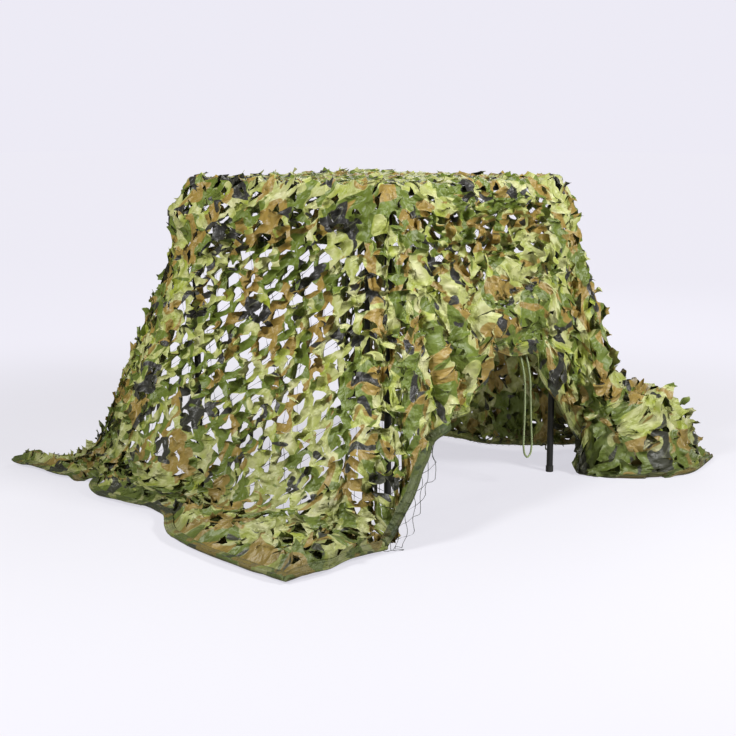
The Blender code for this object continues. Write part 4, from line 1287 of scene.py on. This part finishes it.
def loose_threads(slope):
    """The loose mesh below the lifted hem, a diamond and a half deep.

    It reaches from the hem along LOOSE_WAY, and less far at its right end. Its slack is soft
    noise. What would be under the floor lies on it, that much further out.
    """
    from_a, to_a = LOOSE_SPAN
    depth = np.linspace(0, 1, 3 * LOOSE_PARTS + 1)[None, :]
    starts = np.arange(from_a - 0.16, to_a + 0.16, 2 * LOOSE_PITCH)
    a = starts[:, None] + slope * 3 * LOOSE_PITCH * depth
    there = (a > from_a) & (a < to_a)
    edge_a, edge_b = np.clip(a, from_a, to_a), np.full(a.shape, MESH_MARGIN)
    hem = on_drape(edge_a, edge_b, crumple(edge_a, edge_b) - 0.004)
    reach = LOOSE_REACH * smooth_step(-a, -to_a, -to_a + 0.20) * depth**0.85
    slack = LOOSE_SLACK * np.sqrt(depth)
    places = hem + reach[..., None] * LOOSE_WAY
    for axis, seed in enumerate((41, 42, 43)):
        places[..., axis] += slack * (hills(a, depth * LOOSE_REACH, 0.05, seed) - 0.5)
    lying = np.maximum(THREAD_LOW - places[..., 2], 0)
    places = places + lying[..., None] * np.array([0.5, -0.4, 1.0])
    ups = np.broadcast_to(np.array([0.8, -0.6, 0.05]), places.shape)
    knots = np.arange(a.shape[1]) % LOOSE_PARTS == 0
    return thread_tubes(places, ups, knots, there, 1.9 * THREAD_RADIUS)


def thread_finish():
    """Dark nylon, whose tone runs between two greens by noise."""
    finish, tree, shader = new_finish("dark_nylon", 0.5)
    place = add_node(tree, "TexCoord").outputs["Object"]
    tone = add_node(tree, "TexNoise", {"Vector": place, "Scale": 60.0, "Detail": 2.0})
    colour = add_node(tree, "Mix", {0: tone.outputs["Fac"], 6: (*THREAD_COLOURS[0], 1.0),
                                    7: (*THREAD_COLOURS[1], 1.0)}, data_type="RGBA")
    tree.links.new(colour.outputs[2], shader.inputs["Base Color"])
    return finish


dark_nylon = thread_finish()
for name, made in {"backing_mesh": mesh_threads, "loose_mesh": loose_threads}.items():
    (first, first_faces), (second, second_faces) = made(1), made(-1)
    piece = make_piece(name, np.concatenate([first, second]),
                       np.concatenate([first_faces, second_faces + len(first)]), dark_nylon)
    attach(piece, "root")
    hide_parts("net_cloth")

for name, (low, high, rails) in NET_WIDTHS.items():
    wide = min(high, NET_LONG) - max(low, 0.0)


# --- Frame ----------------------------------------------------------------------------
# Steel tubes in satin black powder coat, pushed into moulded plastic fittings at the top
# corners and stood on rubber feet. Their shapes are the frame's own, and get their finish.
def black_finish(name, colour, roughness, metallic, grain):
    """Black paint, plastic or rubber, with fine orange peel and a few duller handled spots."""
    finish, tree, shader = new_finish(name, roughness, metallic)
    place = add_node(tree, "TexCoord").outputs["Object"]
    peel = add_node(tree, "TexNoise", {"Vector": place, "Scale": grain, "Detail": 2.0})
    spots = add_node(tree, "TexNoise", {"Vector": place, "Scale": 22.0, "Detail": 3.0})
    rough = add_node(tree, "MapRange", {"Value": spots.outputs["Fac"],
                                        "To Min": roughness - 0.08, "To Max": roughness + 0.12})
    tone = add_node(tree, "Mix", {0: spots.outputs["Fac"], 6: (*colour, 1.0),
                                  7: (*(1.6 * c for c in colour), 1.0)}, data_type="RGBA")
    bump = add_node(tree, "Bump", {"Height": peel.outputs["Fac"], "Strength": 0.15,
                                   "Distance": 0.0004})
    tree.links.new(rough.outputs[0], shader.inputs["Roughness"])
    tree.links.new(tone.outputs[2], shader.inputs["Base Color"])
    tree.links.new(bump.outputs[0], shader.inputs["Normal"])
    return finish


frame_finishes = {
    "post": black_finish("black_tube", (0.012, 0.012, 0.014), 0.36, 0.0, 900.0),
    "fitting": black_finish("black_fitting", (0.016, 0.016, 0.017), 0.5, 0.0, 1400.0),
    "foot": black_finish("black_foot", (0.022, 0.022, 0.022), 0.75, 0.0, 700.0),
}
frame_finishes["rail"] = frame_finishes["post"]
for name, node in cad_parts.items():
    kind = name.split("_")[0]
    if kind in frame_finishes:
        node.data.materials.clear()
        node.data.materials.append(frame_finishes[kind])


# --- Studio ---------------------------------------------------------------------------
# A pale lavender-white floor that glows a little and runs out of sight into a backdrop of
# its own colour, with three large soft lamps round it.
FLOOR_REACH = 40.0
FLOOR_NEAR = ((0.22, 0.22, 0.23), (0.615, 0.605, 0.665))    # its paint, and its own glow
FLOOR_FAR = ((0.02, 0.02, 0.02), (0.835, 0.82, 0.905))
FLOOR_FADE = (1.2, 3.4)     # how far out the one ends and the other begins
FLOOR_LIGHT = (0.225, 0.220, 0.125)     # the share of its glow with which it lights things
WORLD_COLOUR = (0.845, 0.83, 0.915)
WORLD_LIGHT_COLOUR = (0.134, 0.128, 0.074)      # what the backdrop lights things with
LAMP_AIM = (0.0, 0.0, 0.4)


def studio():
    """The floor and the backdrop, which show one colour and light things with another.

    The floor's paint and glow run from near to far values along a smooth step of the
    distance from its middle.
    """
    finish, tree, shader = new_finish("pale_floor", 0.9)
    place = add_node(tree, "TexCoord").outputs["Object"]
    distance = add_node(tree, "VectorMath", {0: place}, operation="LENGTH").outputs["Value"]
    out = add_node(tree, "MapRange", {"Value": distance, "From Min": FLOOR_FADE[0],
                                      "From Max": FLOOR_FADE[1]},
                   interpolation_type="SMOOTHSTEP").outputs[0]
    paint, glow = (add_node(tree, "Mix", {0: out, 6: (*near, 1.0), 7: (*far, 1.0)},
                            data_type="RGBA").outputs[2]
                   for near, far in zip(FLOOR_NEAR, FLOOR_FAR))
    seen = add_node(tree, "LightPath").outputs["Is Camera Ray"]
    share = add_node(tree, "Mix", {0: seen, 6: (*FLOOR_LIGHT, 1.0), 7: (1.0, 1.0, 1.0, 1.0)},
                     data_type="RGBA")
    shown = add_node(tree, "Mix", {0: 1.0, 6: glow, 7: share.outputs[2]}, data_type="RGBA",
                     blend_type="MULTIPLY")
    tree.links.new(paint, shader.inputs["Base Color"])
    tree.links.new(shown.outputs[2], shader.inputs["Emission Color"])
    shader.inputs["Emission Strength"].default_value = 1.0
    corners = FLOOR_REACH * np.array([(-1, -1, 0), (1, -1, 0), (1, 1, 0), (-1, 1, 0)])
    floor = make_piece("studio_floor", corners, np.array([[0, 1, 2, 3]]), finish)
    world = bpy.data.worlds.new("studio_world")
    bpy.context.scene.world = world
    world.use_nodes = True
    tree = world.node_tree
    seen = add_node(tree, "LightPath").outputs["Is Camera Ray"]
    colour = add_node(tree, "Mix", {0: seen, 6: (*WORLD_LIGHT_COLOUR, 1.0),
                                    7: (*WORLD_COLOUR, 1.0)}, data_type="RGBA")
    background = tree.nodes["Background"]
    tree.links.new(colour.outputs[2], background.inputs["Color"])


def soft_lamp(name, place, size, power):
    """A square lamp, size across, turned to look at LAMP_AIM."""
    lamp = bpy.data.lights.new(name, "AREA")
    lamp.shape = "SQUARE"
    lamp.size = size
    lamp.energy = power
    made = bpy.data.objects.new(name, lamp)
    bpy.context.scene.collection.objects.link(made)
    made.location = place
    looking = Vector(LAMP_AIM) - made.location
    made.rotation_euler = looking.to_track_quat("-Z", "Y").to_euler()


studio()
soft_lamp("front_lamp", (0.3, -4.0, 2.7), 0.8, 186)
soft_lamp("left_lamp", (-4.2, -0.5, 2.9), 0.8, 188)
soft_lamp("back_lamp", (4.2, 2.0, 2.6), 2.5, 70)
bpy.context.scene.view_settings.view_transform = "Standard"
